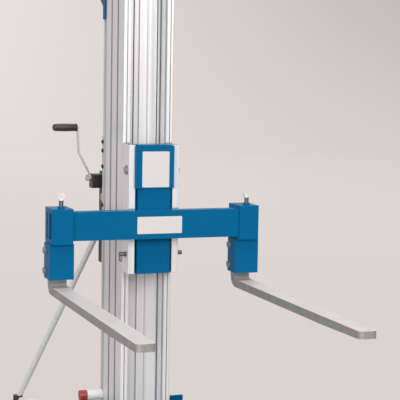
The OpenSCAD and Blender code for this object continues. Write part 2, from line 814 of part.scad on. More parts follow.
module tongue_bolt() color(ZINC) place() {
    side = column_w / 2;
    cyl_x(-side, side + bolt_head_h + bolt_end, pin_y, bolt_z, pin_r);
    hex_x(-side - bolt_head_h, -side, pin_y, bolt_z, pin_head_r);
    hex_x(side, side + bolt_head_h, pin_y, bolt_z, pin_head_r);
}

// The ring hangs through an eye near the pin's left end
ring_centre = [-column_w / 2 - pin_proud + 2 * ring_wire_r, pin_y, pin_z - ring_r + ring_wire_r];

module pin_ring(wire_r) translate(ring_centre)
    rotate([0, 90, 0]) rotate_extrude() translate([ring_r - ring_wire_r, 0]) circle(r = wire_r);

module retaining_pin() color(ZINC) place() {
    difference() {
        cyl_x(-column_w / 2 - pin_proud, column_w / 2 + pin_proud, pin_y, pin_z, pin_r);
        pin_ring(ring_wire_r + touch);
    }
    pin_ring(ring_wire_r);
}

// Forks and their brackets, drawn on the right and mirrored for the left

module bracket_shape() {
    x0 = fork_x - bracket_half;
    x1 = fork_x + bracket_half;
    difference() {
        union() {
            block([x0, sleeve_front, box_z1 - sleeve_wall], [x1, bracket_back, bracket_z1]);
            block([fork_x - box_half, box_front, bracket_z0],
                  [fork_x + box_half, pocket_y1, box_z1 - sleeve_wall]);
            hex_z(fork_x, lock_screw_y, bracket_z1 - touch, bracket_z1 + lock_nut_h, lock_nut_r);
        }
        // Window for the beam
        block([x0 - cut, beam_front - bracket_gap, beam_bottom - bracket_gap],
              [x1 + cut, beam_back + bracket_gap, beam_top + bracket_gap]);
        // Pocket for the fork's shank, open below and behind the lower box
        block([fork_x - fork_w / 2 - shank_gap, pocket_y0, bracket_z0 - cut],
              [fork_x + fork_w / 2 + shank_gap, pocket_y1, shank_top + shank_gap]);
        block([fork_x - fork_w / 2 - shank_gap, pocket_y0, bracket_z0 - cut],
              [fork_x + fork_w / 2 + shank_gap, bracket_back + cut, box_z1 - 2 * sleeve_wall]);
        // Side windows beside the shank
        block([x0 - cut, pocket_y0 + side_window_inset, beam_bottom + side_window_inset],
              [x1 + cut, pocket_y1 - side_window_inset, beam_top - side_window_inset]);
        // Hollow of the lower box
        block([fork_x - bracket_half, box_front + sleeve_wall, bracket_z0 - cut],
              [fork_x + bracket_half, pocket_y0 - sleeve_wall, box_z1 - 2 * sleeve_wall]);
        for (i = [0, 1])
            cyl_x(fork_x - column_w, fork_x + column_w, fork_bolt_y, fork_bolt_z0 + i * fork_bolt_step,
                  fork_bolt_r + touch);
        cyl_z(fork_x, lock_screw_y, beam_top, bracket_z1 + lock_nut_h + cut, lock_screw_r + run_fit);
    }
}
side_window_inset = 5;

module left_bracket() color(BLUE) place() for_side(-1) bracket_shape();

module right_bracket() color(BLUE) place() for_side(1) bracket_shape();

module fork_outline() {
    bend_y = fork_back - heel_r;
    bend_z = blade_bottom + heel_r;
    open_y = fork_tip - cut;
    difference() {
        polygon([
            [fork_tip, blade_bottom + tip_taper_h], [fork_tip + tip_taper_l, blade_bottom],
            [fork_back, blade_bottom], [fork_back, shank_top], [fork_tip, shank_top]
        ]);
        // Round outside of the heel
        difference() {
            translate([bend_y, blade_bottom - cut]) square(heel_r + cut);
            translate([bend_y, bend_z]) circle(r = heel_r);
        }
        // Space over the blade and in front of the shank, with the heel's inner round
        translate([open_y, blade_top]) square([bend_y - open_y, shank_top + cut - blade_top]);
        translate([open_y, bend_z]) square([fork_back - fork_t - open_y, shank_top + cut - bend_z]);
        translate([bend_y, bend_z]) circle(r = heel_r - fork_t);
    }
}

module fork_shape() difference() {
    intersection() {
        along_x(fork_x - fork_w / 2, fork_x + fork_w / 2) fork_outline();
        linear_extrude(bracket_z1)
            rounded_rect([fork_x - fork_w / 2, fork_tip], [fork_x + fork_w / 2, fork_back + tip_r], tip_r);
    }
    for (i = [0, 1])
        cyl_x(fork_x - column_w, fork_x + column_w, fork_bolt_y, fork_bolt_z0 + i * fork_bolt_step,
              fork_bolt_r + touch);
}

module left_fork() color(ZINC) place() for_side(-1) fork_shape();

module right_fork() color(ZINC) place() for_side(1) fork_shape();

module bracket_bolts_shape() for (i = [0, 1]) {
    z = fork_bolt_z0 + i * fork_bolt_step;
    cyl_x(fork_x - box_half, fork_x + box_half, fork_bolt_y, z, fork_bolt_r);
    hex_x(fork_x + box_half, fork_x + box_half + bolt_head_h, fork_bolt_y, z, bolt_head_r);
    hex_x(fork_x - box_half - bolt_head_h, fork_x - box_half, fork_bolt_y, z, bolt_head_r);
}

module left_bracket_bolts() color(ZINC) place() for_side(-1) bracket_bolts_shape();

module right_bracket_bolts() color(ZINC) place() for_side(1) bracket_bolts_shape();

module lock_screw_shape() {
    cyl_z(fork_x, lock_screw_y, beam_top + touch, lock_stem_top, lock_screw_r);
    translate([fork_x, lock_screw_y - thumb_t / 2, lock_stem_top + thumb_r - lock_screw_r / 2])
        rotate([-90, 0, 0]) cylinder(h = thumb_t, r = thumb_r);
}

module left_lock_screw() color(ZINC) place() for_side(-1) lock_screw_shape();

module right_lock_screw() color(ZINC) place() for_side(1) lock_screw_shape();

// Winch

module winch_side_outline() difference() {
    union() {
        rounded_rect([rail_back + winch_plate_t - touch, winch_plate_z0], [winch_plate_back, winch_plate_z1],
                     winch_corner_r);
        translate([rail_back + winch_plate_t - touch, winch_plate_z0])
            square([2 * winch_corner_r, winch_plate_z1 - winch_plate_z0]);
    }
    translate([winch_y, drum_z]) circle(r = drum_shaft_r + run_fit);
    translate([winch_y, crank_z]) circle(r = crank_shaft_r + run_fit);
}

module winch_frame() color(BLACK) place() {
    block([-column_w / 2, rail_back, winch_bottom], [column_w / 2, rail_back + winch_plate_t, winch_top]);
    for (side = SIDES) for_side(side) along_x(winch_inner, winch_side) winch_side_outline();
}

// Bolts that clamp the winch's plate to the sides of the rear rails
winch_bolt_z = [30, 177, 237, 270];
winch_bolt_r = 7;
winch_bolt_h = 6;

module winch_bolts() color(BLACK) place() for (side = SIDES, z = winch_bolt_z) for_side(side)
    hex_x(column_w / 2, column_w / 2 + winch_bolt_h, rail_back - rail_lip_d / 2, winch_bottom + z,
          min(winch_bolt_r, rail_lip_d / 2));

module drum() color(ZINC) place() difference() {
    union() {
        cyl_x(drum_x0 - touch, drum_x1 + touch, winch_y, drum_z, drum_core_r);
        cyl_x(drum_x0 - drum_flange_t, drum_x0, winch_y, drum_z, drum_flange_r);
        cyl_x(drum_x1, drum_x1 + drum_flange_t, winch_y, drum_z, drum_flange_r);
    }
    cyl_x(-winch_w, winch_w, winch_y, drum_z, drum_shaft_r + run_fit);
}

shaft_ring_t = 6;
shaft_ring_gap = 2;
shaft_ring_r = drum_shaft_r + collar_edge;
shaft_end = winch_side + shaft_ring_gap + shaft_ring_t;

module drum_shaft() color(ZINC) place() {
    cyl_x(-shaft_end, shaft_end, winch_y, drum_z, drum_shaft_r);
    for (x = [-shaft_end, shaft_end - shaft_ring_t])
        cyl_x(x, x + shaft_ring_t, winch_y, drum_z, shaft_ring_r);
}

// Root, lower flank, pitch line and tip of a tooth, in tooth sizes from the pitch circle
TOOTH_SHARES = [-1.15, -0.4, 0, 0.85];

// Involute tooth form: angle of a flank at a radius, counted from the tooth's middle
function involute(r, base_r) = r <= base_r ? 0 : tan(acos(base_r / r)) * 180 / PI - acos(base_r / r);
function flank(r, teeth) = let (
        pitch_r = gear_module * teeth / 2,
        base_r = pitch_r * cos(PRESSURE_ANGLE),
        play_angle = gear_play / pitch_r * 180 / PI
    ) 90 / teeth - play_angle + involute(pitch_r, base_r) - involute(r, base_r);
function gear_radii(teeth) = [for (share = TOOTH_SHARES) gear_module * (teeth / 2 + share)];
function tooth_points(teeth, i) = let (radii = gear_radii(teeth), middle = 360 / teeth * i) concat(
    [for (r = radii) let (a = middle - flank(r, teeth)) r * [cos(a), sin(a)]],
    [for (j = [len(radii) - 1:-1:0]) let (r = radii[j], a = middle + flank(r, teeth)) r * [cos(a), sin(a)]]
);

module gear_outline(teeth) polygon([for (i = [0:teeth - 1]) each tooth_points(teeth, i)]);

module drum_gear() color(ZINC) place() translate([0, winch_y, drum_z]) along_x(gear_x0, gear_x1)
    difference() {
        rotate(180 / gear_teeth + 90) gear_outline(gear_teeth);
        circle(r = drum_shaft_r + run_fit);
    }

crank_shaft_proud = 3;

module crank_shaft() color(ZINC) place() {
    cyl_x(hub_x0 - crank_nut_l - crank_shaft_proud, winch_side + crank_shaft_proud, winch_y, crank_z,
          crank_shaft_r);
    translate([0, winch_y, crank_z]) along_x(gear_x0 + play / 2, gear_x1 - play / 2)
        rotate(-90) gear_outline(pinion_teeth);
}

// One winding as a tube: a helix on the core that ends in a straight stretch at each end
function helix_centre(x0, step, i) = let (a = i * 360 / WOUND_RINGS)
    [x0 + step * i / WOUND_RINGS, wound_r * cos(a), wound_r * sin(a)];
function helix_tangent(i) = let (a = i * 360 / WOUND_RINGS) [0, -sin(a), cos(a)];
function helix_out(i) = let (a = i * 360 / WOUND_RINGS) [0, cos(a), sin(a)];
function tube_ring(centre, out) = [for (s = [0:WOUND_SIDES - 1]) let (a = s * 360 / WOUND_SIDES)
    centre + cable_r * (cos(a) * out + sin(a) * [1, 0, 0])];
function winding_rings(x0, step) = let (last = drum_loops * WOUND_RINGS) concat(
    [tube_ring(helix_centre(x0, step, 0) - cable_d * helix_tangent(0), helix_out(0))],
    [for (i = [0:last]) tube_ring(helix_centre(x0, step, i), helix_out(i))],
    [tube_ring(helix_centre(x0, step, last) + cable_d * helix_tangent(last), helix_out(last))]
);
function tube_faces(rings, flip) = let (n = WOUND_SIDES) [
    each [for (i = [0:rings - 2], s = [0:n - 1]) each
        let (a = i * n + s, b = i * n + (s + 1) % n, c = a + n, d = b + n)
        flip ? [[a, c, b], [b, c, d]] : [[a, b, c], [b, d, c]]],
    each [for (s = [1:n - 2]) flip ? [0, s, s + 1] : [0, s + 1, s]],
    each [for (s = [1:n - 2]) let (o = (rings - 1) * n) flip ? [o, o + s + 1, o + s] : [o, o + s, o + s + 1]]
];

module winding_tube(x0, step) {
    rings = winding_rings(x0, step);
    polyhedron(points = [for (ring = rings) each ring], faces = tube_faces(len(rings), true), convexity = 10);
}

winding_length = drum_loops * loop_pitch;
winding_starts = [lead_x[0] + winding_length, lead_x[1] - winding_length];
winding_gap = min([for (i = [0:WOUND_RINGS - 1], j = [i + WOUND_RINGS / 2:drum_loops * WOUND_RINGS])
    norm(helix_centre(0, loop_pitch, i) - helix_centre(0, loop_pitch, j)) - cable_d]);
echo(winding_gap = winding_gap);

module drum_winding() color(CABLE) place() translate([0, winch_y, drum_z]) {
    winding_tube(winding_starts[0], -loop_pitch);
    winding_tube(winding_starts[1], loop_pitch);
}

module brake_cover() color(BLACK) place() difference() {
    z1 = crank_z + brake_cover_rise;
    half = brake_cover_w / 2;
    along_x(brake_x0, brake_x1)
        rounded_rect([winch_y - half, z1 - brake_cover_h], [winch_y + half, z1], brake_cover_r);
    along_x(brake_x0 + brake_cover_wall, brake_x1 + cut)
        rounded_rect([winch_y - half + brake_cover_wall, z1 - brake_cover_h + brake_cover_wall],
                     [winch_y + half - brake_cover_wall, z1 - brake_cover_wall],
                     brake_cover_r - brake_cover_wall);
    cyl_x(brake_x0 - cut, brake_x1, winch_y, crank_z, crank_shaft_r + play);
}

// The arm is upright beside the nut, and leans out above it
crank_root = 4;

module crank_arm() color(ZINC) place() {
    half_t = crank_arm_t / 2;
    root_z = crank_z + crank_nut_r + crank_root;
    bend_z = crank_z + crank_bend;
    difference() {
        union() {
            cyl_x(hub_x0, hub_x1, winch_y, crank_z, crank_hub_r);
            along_y(winch_y - crank_arm_w / 2, winch_y + crank_arm_w / 2) polygon([
                [arm_x - half_t, crank_z], [arm_x + half_t, crank_z], [arm_x + half_t, root_z],
                [arm_bend_x + half_t, bend_z], [arm_top_x + half_t, grip_z + crank_arm_w / 2],
                [arm_top_x - half_t, grip_z + crank_arm_w / 2], [arm_bend_x - half_t, bend_z],
                [arm_x - half_t, root_z]
            ]);
        }
        cyl_x(hub_x0 - cut, hub_x1 + cut, winch_y, crank_z, crank_shaft_r + run_fit);
    }
    cyl_x(grip_x0 + grip_cap, arm_top_x, winch_y, grip_z, spindle_r);
}

module crank_nut() color(ZINC) place() difference() {
    hex_x(hub_x0 - crank_nut_l, hub_x0, winch_y, crank_z, crank_nut_r);
    cyl_x(hub_x0 - crank_nut_l - cut, hub_x0 + cut, winch_y, crank_z, crank_shaft_r + run_fit);
}

module crank_grip() color(BLACK) place()
translate([grip_x0, winch_y, grip_z]) rotate([0, 90, 0]) difference() {
    union() {
        translate([0, 0, grip_r / 2]) cylinder(h = grip_l - grip_r / 2, r = grip_r);
        cylinder(h = grip_r / 2, r1 = grip_r - grip_cap, r2 = grip_r);
    }
    translate([0, 0, grip_cap - play / 2]) cylinder(h = grip_l, r = spindle_r + run_fit);
}

// Base

plate_edge = 8;
front_cross_y = 25;
front_cross_d = 70;
stub_ring_t = 4;
stub_ring_gap = 1;
stub_ring_r = stub_r + collar_edge;

module base_frame() color(BLUE) place() {
    plate_half = column_w / 2 + plate_edge;
    front_cross_half = leg_x + socket_size / 2;
    block([-plate_half, -plate_edge, cross_top], [plate_half, rail_back + plate_edge, base_top]);
    block([-front_cross_half, front_cross_y, cross_top - cross_h],
          [front_cross_half, front_cross_y + front_cross_d, cross_top]);
    block(rear_cross_low, rear_cross_high);
    for (side = SIDES) for_side(side) {
        difference() {
            union() {
                block([leg_x - socket_size / 2, -socket_front, socket_z0],
                      [leg_x + socket_size / 2, socket_back, socket_z0 + socket_size]);
                block([leg_x - socket_size / 2, socket_back - lug_t, socket_z0],
                      [leg_x + socket_size / 2, socket_back, base_top + lug_rise]);
            }
            block([leg_x - leg_size / 2 - leg_gap, -socket_front - cut, leg_z0 - leg_gap],
                  [leg_x + leg_size / 2 + leg_gap, socket_back - lug_t, leg_z0 + leg_size + leg_gap]);
            cyl_x(0, 2 * leg_x, leg_pin_y, leg_pin_z, leg_pin_r + touch);
        }
        ring_x = rear_wheel_x + rear_wheel_w / 2 + stub_ring_gap;
        cyl_x(rear_cross_half - touch, ring_x + stub_ring_t, rear_wheel_y, rear_wheel_r, stub_r);
        cyl_x(ring_x, ring_x + stub_ring_t, rear_wheel_y, rear_wheel_r, stub_ring_r);
    }
}
leg_pin_y = -20;
leg_pin_z = leg_z0 + leg_size / 2;

kingpin_nut_t = 4;
kingpin_nut_r = kingpin_r + collar_edge;

module leg_shape() {
    difference() {
        block([leg_x - leg_size / 2, leg_front, leg_z0],
              [leg_x + leg_size / 2, socket_back - lug_t, leg_z0 + leg_size]);
        block([leg_x - leg_size / 2 + socket_wall, leg_front + socket_wall, leg_z0 + socket_wall],
              [leg_x + leg_size / 2 - socket_wall, socket_back, leg_z0 + leg_size - socket_wall]);
        cyl_x(0, 2 * leg_x, leg_pin_y, leg_pin_z, leg_pin_r + touch);
    }
    block([leg_x - caster_plate_half, caster_y - caster_plate_half, caster_plate_z],
          [leg_x + caster_plate_half, caster_y + caster_plate_half, leg_z0 + touch]);
    cyl_z(leg_x, caster_y, swivel_z - kingpin_nut_t, caster_plate_z + touch, kingpin_r);
    cyl_z(leg_x, caster_y, swivel_z - kingpin_nut_t, swivel_z - swivel_gap, kingpin_nut_r);
}

module left_leg() color(ALUMINIUM) place() for_side(-1) leg_shape();

module right_leg() color(ALUMINIUM) place() for_side(1) leg_shape();

leg_pin_head_t = 5;
leg_pin_head_r = leg_pin_r + collar_edge;

module leg_pins() color(ZINC) place() for (side = SIDES) for_side(side) {
    outer = leg_x + socket_size / 2;
    cyl_x(leg_x - socket_size / 2 - leg_pin_head_t, outer, leg_pin_y, leg_pin_z, leg_pin_r);
    cyl_x(outer, outer + leg_pin_head_t, leg_pin_y, leg_pin_z, leg_pin_head_r);
}

caster_wheel_y = caster_y + caster_trail;

caster_cheek_gap = 2;
caster_cheek_r = 12;
caster_axle_proud = 3;
swivel_edge = 4;

module caster_shape() {
    half = caster_w / 2 + caster_cheek_gap;
    difference() {
        cyl_z(leg_x, caster_y, swivel_z, swivel_z + swivel_t, half + caster_fork_t + swivel_edge);
        cyl_z(leg_x, caster_y, swivel_z - cut, swivel_z + swivel_t + cut, kingpin_r + run_fit);
    }
    for (side = SIDES) translate([leg_x + (side > 0 ? half : -half - caster_fork_t), 0, 0])
        along_x(0, caster_fork_t) {
            polygon([
                [caster_y - caster_cheek_r, swivel_z + touch], [caster_y + caster_cheek_r, swivel_z + touch],
                [caster_wheel_y + caster_cheek_r, caster_r], [caster_wheel_y - caster_cheek_r, caster_r]
            ]);
            translate([caster_wheel_y, caster_r]) circle(r = caster_cheek_r);
        }
    axle_end = half + caster_fork_t + caster_axle_proud;
    cyl_x(leg_x - axle_end, leg_x + axle_end, caster_wheel_y, caster_r, caster_axle_r);
}

module front_left_caster() color(ZINC) place() for_side(-1) caster_shape();

module front_right_caster() color(ZINC) place() for_side(1) caster_shape();

// Wheel with a rounded tread, a stepped disc and a bore, around an axle along X
module wheel(x, y, r, w, bore) translate([x, y, r]) rotate([0, 90, 0]) rotate_extrude() difference() {
    rounded_rect([bore + run_fit - wheel_edge, -w / 2], [r, w / 2], wheel_edge);
    translate([0, -w]) square([bore + run_fit, 2 * w]);
    for (side = SIDES) translate([bore + wheel_hub, side > 0 ? w / 2 - disc_step : -w / 2 - cut])
        square([r - bore - wheel_hub - tread_t, disc_step + cut]);
}
wheel_edge = 5;
wheel_hub = 6;
tread_t = 12;
disc_step = 3;

module front_wheel(side) for_side(side) wheel(leg_x, caster_wheel_y, caster_r, caster_w, caster_axle_r);

module rear_wheel(side) for_side(side) wheel(rear_wheel_x, rear_wheel_y, rear_wheel_r, rear_wheel_w, stub_r);

module front_left_wheel() color(BLACK) place() front_wheel(-1);

module front_right_wheel() color(BLACK) place() front_wheel(1);

module rear_left_wheel() color(BLACK) place() rear_wheel(-1);

module rear_right_wheel() color(BLACK) place() rear_wheel(1);

// Braces

module brace_shape() difference() {
    union() {
        rod(brace_from, brace_to, brace_r);
        rod(tie_from, tie_to, tie_r);
        cyl_z(foot_x, foot_y, foot_z, foot_z + foot_sleeve_h, sleeve_r);
    }
    cyl_z(foot_x, foot_y, foot_z - cut, foot_stem_top + touch, foot_stem_r + touch);
    // The tie ends on the back of the rear cross member
    block(rear_cross_low, rear_cross_high);
}

module left_brace() color(ALUMINIUM) place() for_side(-1) brace_shape();

module right_brace() color(ALUMINIUM) place() for_side(1) brace_shape();

// Channels on the rails, closed at the top where the brace's end sits in them
module brace_brackets() color(BLACK) place() for (side = SIDES) for_side(side) difference() {
    low = [column_w / 2 - rail_w, rail_back, brace_bracket_z1 - brace_bracket_l];
    high = [column_w / 2, rail_back + brace_bracket_d, brace_bracket_z1];
    wall = brace_bracket_wall;
    block(low, high);
    block(low + [wall, wall, -cut], [high.x - wall, high.y + cut, brace_top - brace_bracket_rise]);
    rod(brace_from, brace_to, brace_r + touch);
}

module brace_feet() color(BLACK) place() for (side = SIDES) for_side(side) {
    cyl_z(foot_x, foot_y, 0, foot_t, foot_r);
    cyl_z(foot_x, foot_y, foot_t - touch, foot_stem_top, foot_stem_r);
    cyl_z(foot_x, foot_y, foot_t - touch, foot_z, foot_collar_r);
}

// Handle and lock

module rear_handle() color(BLUE) place() {
    half = column_w / 2;
    y0 = rail_back - rail_lip_d - handle_overlap;
    tube_y = rail_back + handle_reach - handle_tube_r;
    tube_z = handle_bottom + handle_tube_rise;
    for (side = SIDES) for_side(side) along_x(half, half + handle_plate_t) {
        translate([y0, handle_bottom]) square([rail_back - y0, handle_h]);
        polygon([
            [rail_back - cut, handle_bottom + handle_arm_rise], [rail_back - cut, handle_bottom + handle_h],
            [tube_y, tube_z + handle_end_r], [tube_y, tube_z - handle_end_r]
        ]);
        translate([tube_y, tube_z]) circle(r = handle_end_r);
    }
    cyl_x(-half - touch, half + touch, tube_y, tube_z, handle_tube_r);
}
handle_overlap = 15;

lock_x1 = -column_w / 2;
lock_x0 = lock_x1 - lock_collar_l;
lock_flange = 5;
lock_rim = 3;

module lock_collar() color(NYLON) place() difference() {
    union() {
        cyl_x(lock_x0, lock_x1, lock_y, lock_z, lock_r);
        cyl_x(lock_x1 - lock_flange, lock_x1, lock_y, lock_z, lock_r + lock_rim);
    }
    cyl_x(lock_x0 - cut, lock_x1 - lock_flange, lock_y, lock_z, plunger_r + run_fit);
}

module lock_cap() color(RED) place() {
    cyl_x(lock_x0 - lock_cap_l, lock_x0 - touch, lock_y, lock_z, lock_r);
    cyl_x(lock_x0 - cut, lock_x1 - lock_flange - play, lock_y, lock_z, plunger_r);
}

base_frame();
left_leg();
right_leg();
leg_pins();
front_left_caster();
front_right_caster();
front_left_wheel();
front_right_wheel();
rear_left_wheel();
rear_right_wheel();
column_1();
column_2();
column_3();
column_1_head();
column_2_brackets();
column_3_brackets();
head_1_sheaves();
head_2_sheaves();
head_3_sheaves();
foot_2_sheaves();
foot_3_sheaves();
column_2_shoes();
column_3_shoes();
carriage_shoes();
winch_cables();
stage_2_cables();
stage_3_cables();
carriage_cables();
carriage_body();
tongue();
face_plate();
cross_beam();
tongue_bolt();
retaining_pin();
left_bracket();
right_bracket();
left_fork();
right_fork();
left_bracket_bolts();
right_bracket_bolts();
left_lock_screw();
right_lock_screw();
winch_frame();
winch_bolts();
drum();
drum_gear();
drum_winding();
drum_shaft();
crank_shaft();
brake_cover();
crank_arm();
crank_nut();
crank_grip();
left_brace();
right_brace();
brace_brackets();
brace_feet();
rear_handle();
lock_collar();
lock_cap();
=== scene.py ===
import json
import math

import bmesh
import bpy
import numpy as np
from mathutils import Matrix, Vector


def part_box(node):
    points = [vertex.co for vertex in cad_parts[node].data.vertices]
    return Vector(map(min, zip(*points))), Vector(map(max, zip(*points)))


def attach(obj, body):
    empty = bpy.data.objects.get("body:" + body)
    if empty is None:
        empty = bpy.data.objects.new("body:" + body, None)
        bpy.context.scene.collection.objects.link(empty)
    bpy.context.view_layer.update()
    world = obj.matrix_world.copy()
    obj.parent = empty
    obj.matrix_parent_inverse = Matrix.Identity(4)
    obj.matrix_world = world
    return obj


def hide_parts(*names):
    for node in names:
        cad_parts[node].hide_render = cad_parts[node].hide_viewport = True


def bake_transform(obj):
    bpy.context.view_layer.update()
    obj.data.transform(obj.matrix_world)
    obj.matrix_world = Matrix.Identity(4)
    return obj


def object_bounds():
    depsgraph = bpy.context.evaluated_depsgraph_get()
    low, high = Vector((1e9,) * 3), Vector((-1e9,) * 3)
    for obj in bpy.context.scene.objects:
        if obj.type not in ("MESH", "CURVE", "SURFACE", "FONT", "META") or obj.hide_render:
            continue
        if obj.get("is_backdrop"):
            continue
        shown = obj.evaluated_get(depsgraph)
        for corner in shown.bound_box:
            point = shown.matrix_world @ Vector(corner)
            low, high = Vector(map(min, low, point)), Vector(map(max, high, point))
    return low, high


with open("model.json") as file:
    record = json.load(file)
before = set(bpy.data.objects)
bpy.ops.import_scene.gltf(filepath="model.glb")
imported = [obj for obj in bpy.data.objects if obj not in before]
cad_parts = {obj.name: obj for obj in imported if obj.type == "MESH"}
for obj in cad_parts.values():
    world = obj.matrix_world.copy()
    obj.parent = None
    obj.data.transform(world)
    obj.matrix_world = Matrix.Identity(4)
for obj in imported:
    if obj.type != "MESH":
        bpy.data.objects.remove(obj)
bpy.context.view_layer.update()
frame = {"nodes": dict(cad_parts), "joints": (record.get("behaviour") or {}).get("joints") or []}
nodes = frame["nodes"]
axles = {joint["name"]: joint.get("pos_m") for joint in frame["joints"]}
SIDES = (("left", -1), ("right", 1))

# Stations in millimetres in the mast's own frame, as in part.scad: column 3's front is at y = 0
ORIGIN_Y = -1000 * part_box("column_3")[0].y


def row(x, y, z):
    """A point of the mast's own frame, in metres in the row frame."""
    return Vector((x / 1000, (y - ORIGIN_Y) / 1000, z / 1000))


def station(joint):
    """Y and Z of a turning joint's axis in the mast's own frame."""
    _, y, z = axles[joint]
    return 1000 * y + ORIGIN_Y, 1000 * z


HEAD_Y = {k: station(f"head_{k}_turn")[0] for k in (1, 2, 3)}
FOOT_Y = {k: station(f"foot_{k}_turn")[0] for k in (2, 3)}
HEAD_Z = station("head_1_turn")[1]
FOOT_Z = station("foot_2_turn")[1]
WINCH_Y, DRUM_Z = station("drum_turn")
PITCH_R = 19.9
CABLE_X = 45.0
CABLE_R = 2.5
WOUND_R = 39.008
LEAD_GAP = 0.8
LEAD_R = WOUND_R + 2 * CABLE_R + LEAD_GAP
LOOPS = 6
LOOP_PITCH = 5.6
# First X and step of each side's winding on the drum
WINDINGS = ((-11.5, -LOOP_PITCH), (19.5, LOOP_PITCH))


# Camera, fitted to the photograph: angles in radians, place in millimetres in the mast's own frame

CAMERA_YAW = 0.350
CAMERA_PITCH = -0.098
CAMERA_ROLL = 0.017
CAMERA_PLACE = (-1462.28, -4564.25, 1399.92)
SENSOR = 36
LENS = 119.074
CLIP_END = 100


def add_camera():
    level = math.cos(CAMERA_PITCH)
    forward = Vector((math.sin(CAMERA_YAW) * level, math.cos(CAMERA_YAW) * level, math.sin(CAMERA_PITCH)))
    right = Vector((math.cos(CAMERA_YAW), -math.sin(CAMERA_YAW), 0))
    up = right.cross(forward)
    right_rolled = math.cos(CAMERA_ROLL) * right + math.sin(CAMERA_ROLL) * up
    up_rolled = -math.sin(CAMERA_ROLL) * right + math.cos(CAMERA_ROLL) * up
    data = bpy.data.cameras.new("camera")
    data.sensor_width = SENSOR
    data.lens = LENS
    data.clip_end = CLIP_END
    camera = bpy.data.objects.new("camera", data)
    bpy.context.scene.collection.objects.link(camera)
    turn = Matrix((right_rolled, up_rolled, -forward)).transposed().to_4x4()
    camera.matrix_world = Matrix.Translation(row(*CAMERA_PLACE)) @ turn
    bpy.context.scene.camera = camera


add_camera()


# Nodes that the materials are made of

COAT_ROUGHNESS = 0.1
EVEN = (1, 1, 1)
# Share of painted shade in a seam's middle
SEAM_DEPTH = 0.95


def new_material(name, color, roughness, metallic=0.0, coat=0.0, specular=0.5):
    mat = bpy.data.materials.new(name)
    mat.use_nodes = True
    shader = mat.node_tree.nodes["Principled BSDF"]
    shader.inputs["Base Color"].default_value = (*color, 1)
    shader.inputs["Roughness"].default_value = roughness
    shader.inputs["Metallic"].default_value = metallic
    shader.inputs["Coat Weight"].default_value = coat
    shader.inputs["Coat Roughness"].default_value = COAT_ROUGHNESS
    shader.inputs["Specular IOR Level"].default_value = specular
    return mat, mat.node_tree, shader


def scaled(color, share, lift=0.0):
    """A colour made darker or paler, kept at 1 or less."""
    return tuple(min(1.0, share * part + lift) for part in color)


def object_axes(tree):
    """X, Y and Z of the point in its object's own coordinates, as outputs by name."""
    coords = tree.nodes.new("ShaderNodeTexCoord")
    split = tree.nodes.new("ShaderNodeSeparateXYZ")
    tree.links.new(coords.outputs["Object"], split.inputs["Vector"])
    return split.outputs


def object_noise(tree, stretch, scale, detail=3.0, roughness=0.5):
    """Noise in object coordinates, stretched per axis."""
    coords = tree.nodes.new("ShaderNodeTexCoord")
    mapping = tree.nodes.new("ShaderNodeMapping")
    mapping.inputs["Scale"].default_value = stretch
    tree.links.new(coords.outputs["Object"], mapping.inputs["Vector"])
    noise = tree.nodes.new("ShaderNodeTexNoise")
    noise.inputs["Scale"].default_value = scale
    noise.inputs["Detail"].default_value = detail
    noise.inputs["Roughness"].default_value = roughness
    tree.links.new(mapping.outputs["Vector"], noise.inputs["Vector"])
    return noise.outputs["Fac"]


def map_range(tree, value, low, high, from_low=0.3, from_high=0.7):
    """low where value is from_low or less, high where it is from_high or more, a ramp between."""
    node = tree.nodes.new("ShaderNodeMapRange")
    node.inputs["From Min"].default_value = from_low
    node.inputs["From Max"].default_value = from_high
    node.inputs["To Min"].default_value = low
    node.inputs["To Max"].default_value = high
    tree.links.new(value, node.inputs["Value"])
    return node.outputs["Result"]


def mix_colors(tree, factor, first, second):
    """A mix of two colours, each a tuple or a socket: all first at factor 0, all second at 1."""
    node = tree.nodes.new("ShaderNodeMix")
    node.data_type = "RGBA"
    tree.links.new(factor, node.inputs["Factor"])
    for socket, value in ((node.inputs[6], first), (node.inputs[7], second)):
        if isinstance(value, tuple):
            socket.default_value = (*value, 1)
        else:
            tree.links.new(value, socket)
    return node.outputs[2]


def math_node(tree, operation, first, second=0.0):
    """One step of arithmetic on numbers and sockets."""
    node = tree.nodes.new("ShaderNodeMath")
    node.operation = operation
    for socket, value in zip(node.inputs, (first, second)):
        if isinstance(value, float):
            socket.default_value = value
        else:
            tree.links.new(value, socket)
    return node.outputs[0]


def add_bump(tree, shader, height, strength, distance):
    bump = tree.nodes.new("ShaderNodeBump")
    bump.inputs["Strength"].default_value = strength
    bump.inputs["Distance"].default_value = distance
    tree.links.new(height, bump.inputs["Height"])
    tree.links.new(bump.outputs["Normal"], shader.inputs["Normal"])


def crevices(tree, distance):
    """1 on open faces, falling to 0 deep in grooves and inside corners."""
    node = tree.nodes.new("ShaderNodeAmbientOcclusion")
    node.samples = 8
    node.inputs["Distance"].default_value = distance
    return node.outputs["AO"]


def edges(tree, radius):
    """0 on flat faces, rising to 1 along sharp edges."""
    bevel = tree.nodes.new("ShaderNodeBevel")
    bevel.samples = 4
    bevel.inputs["Radius"].default_value = radius
    geometry = tree.nodes.new("ShaderNodeNewGeometry")
    dot = tree.nodes.new("ShaderNodeVectorMath")
    dot.operation = "DOT_PRODUCT"
    tree.links.new(bevel.outputs["Normal"], dot.inputs[0])
    tree.links.new(geometry.outputs["Normal"], dot.inputs[1])
    return map_range(tree, dot.outputs["Value"], 1.0, 0.0, 0.85, 0.98)


def square_distance(tree, first, first_centre, second, second_centre):
    """Square of the distance from an axis, across two coordinates."""
    squares = []
    for value, centre in ((first, first_centre), (second, second_centre)):
        offset = math_node(tree, "SUBTRACT", value, centre)
        squares.append(math_node(tree, "MULTIPLY", offset, offset))
    return math_node(tree, "ADD", *squares)


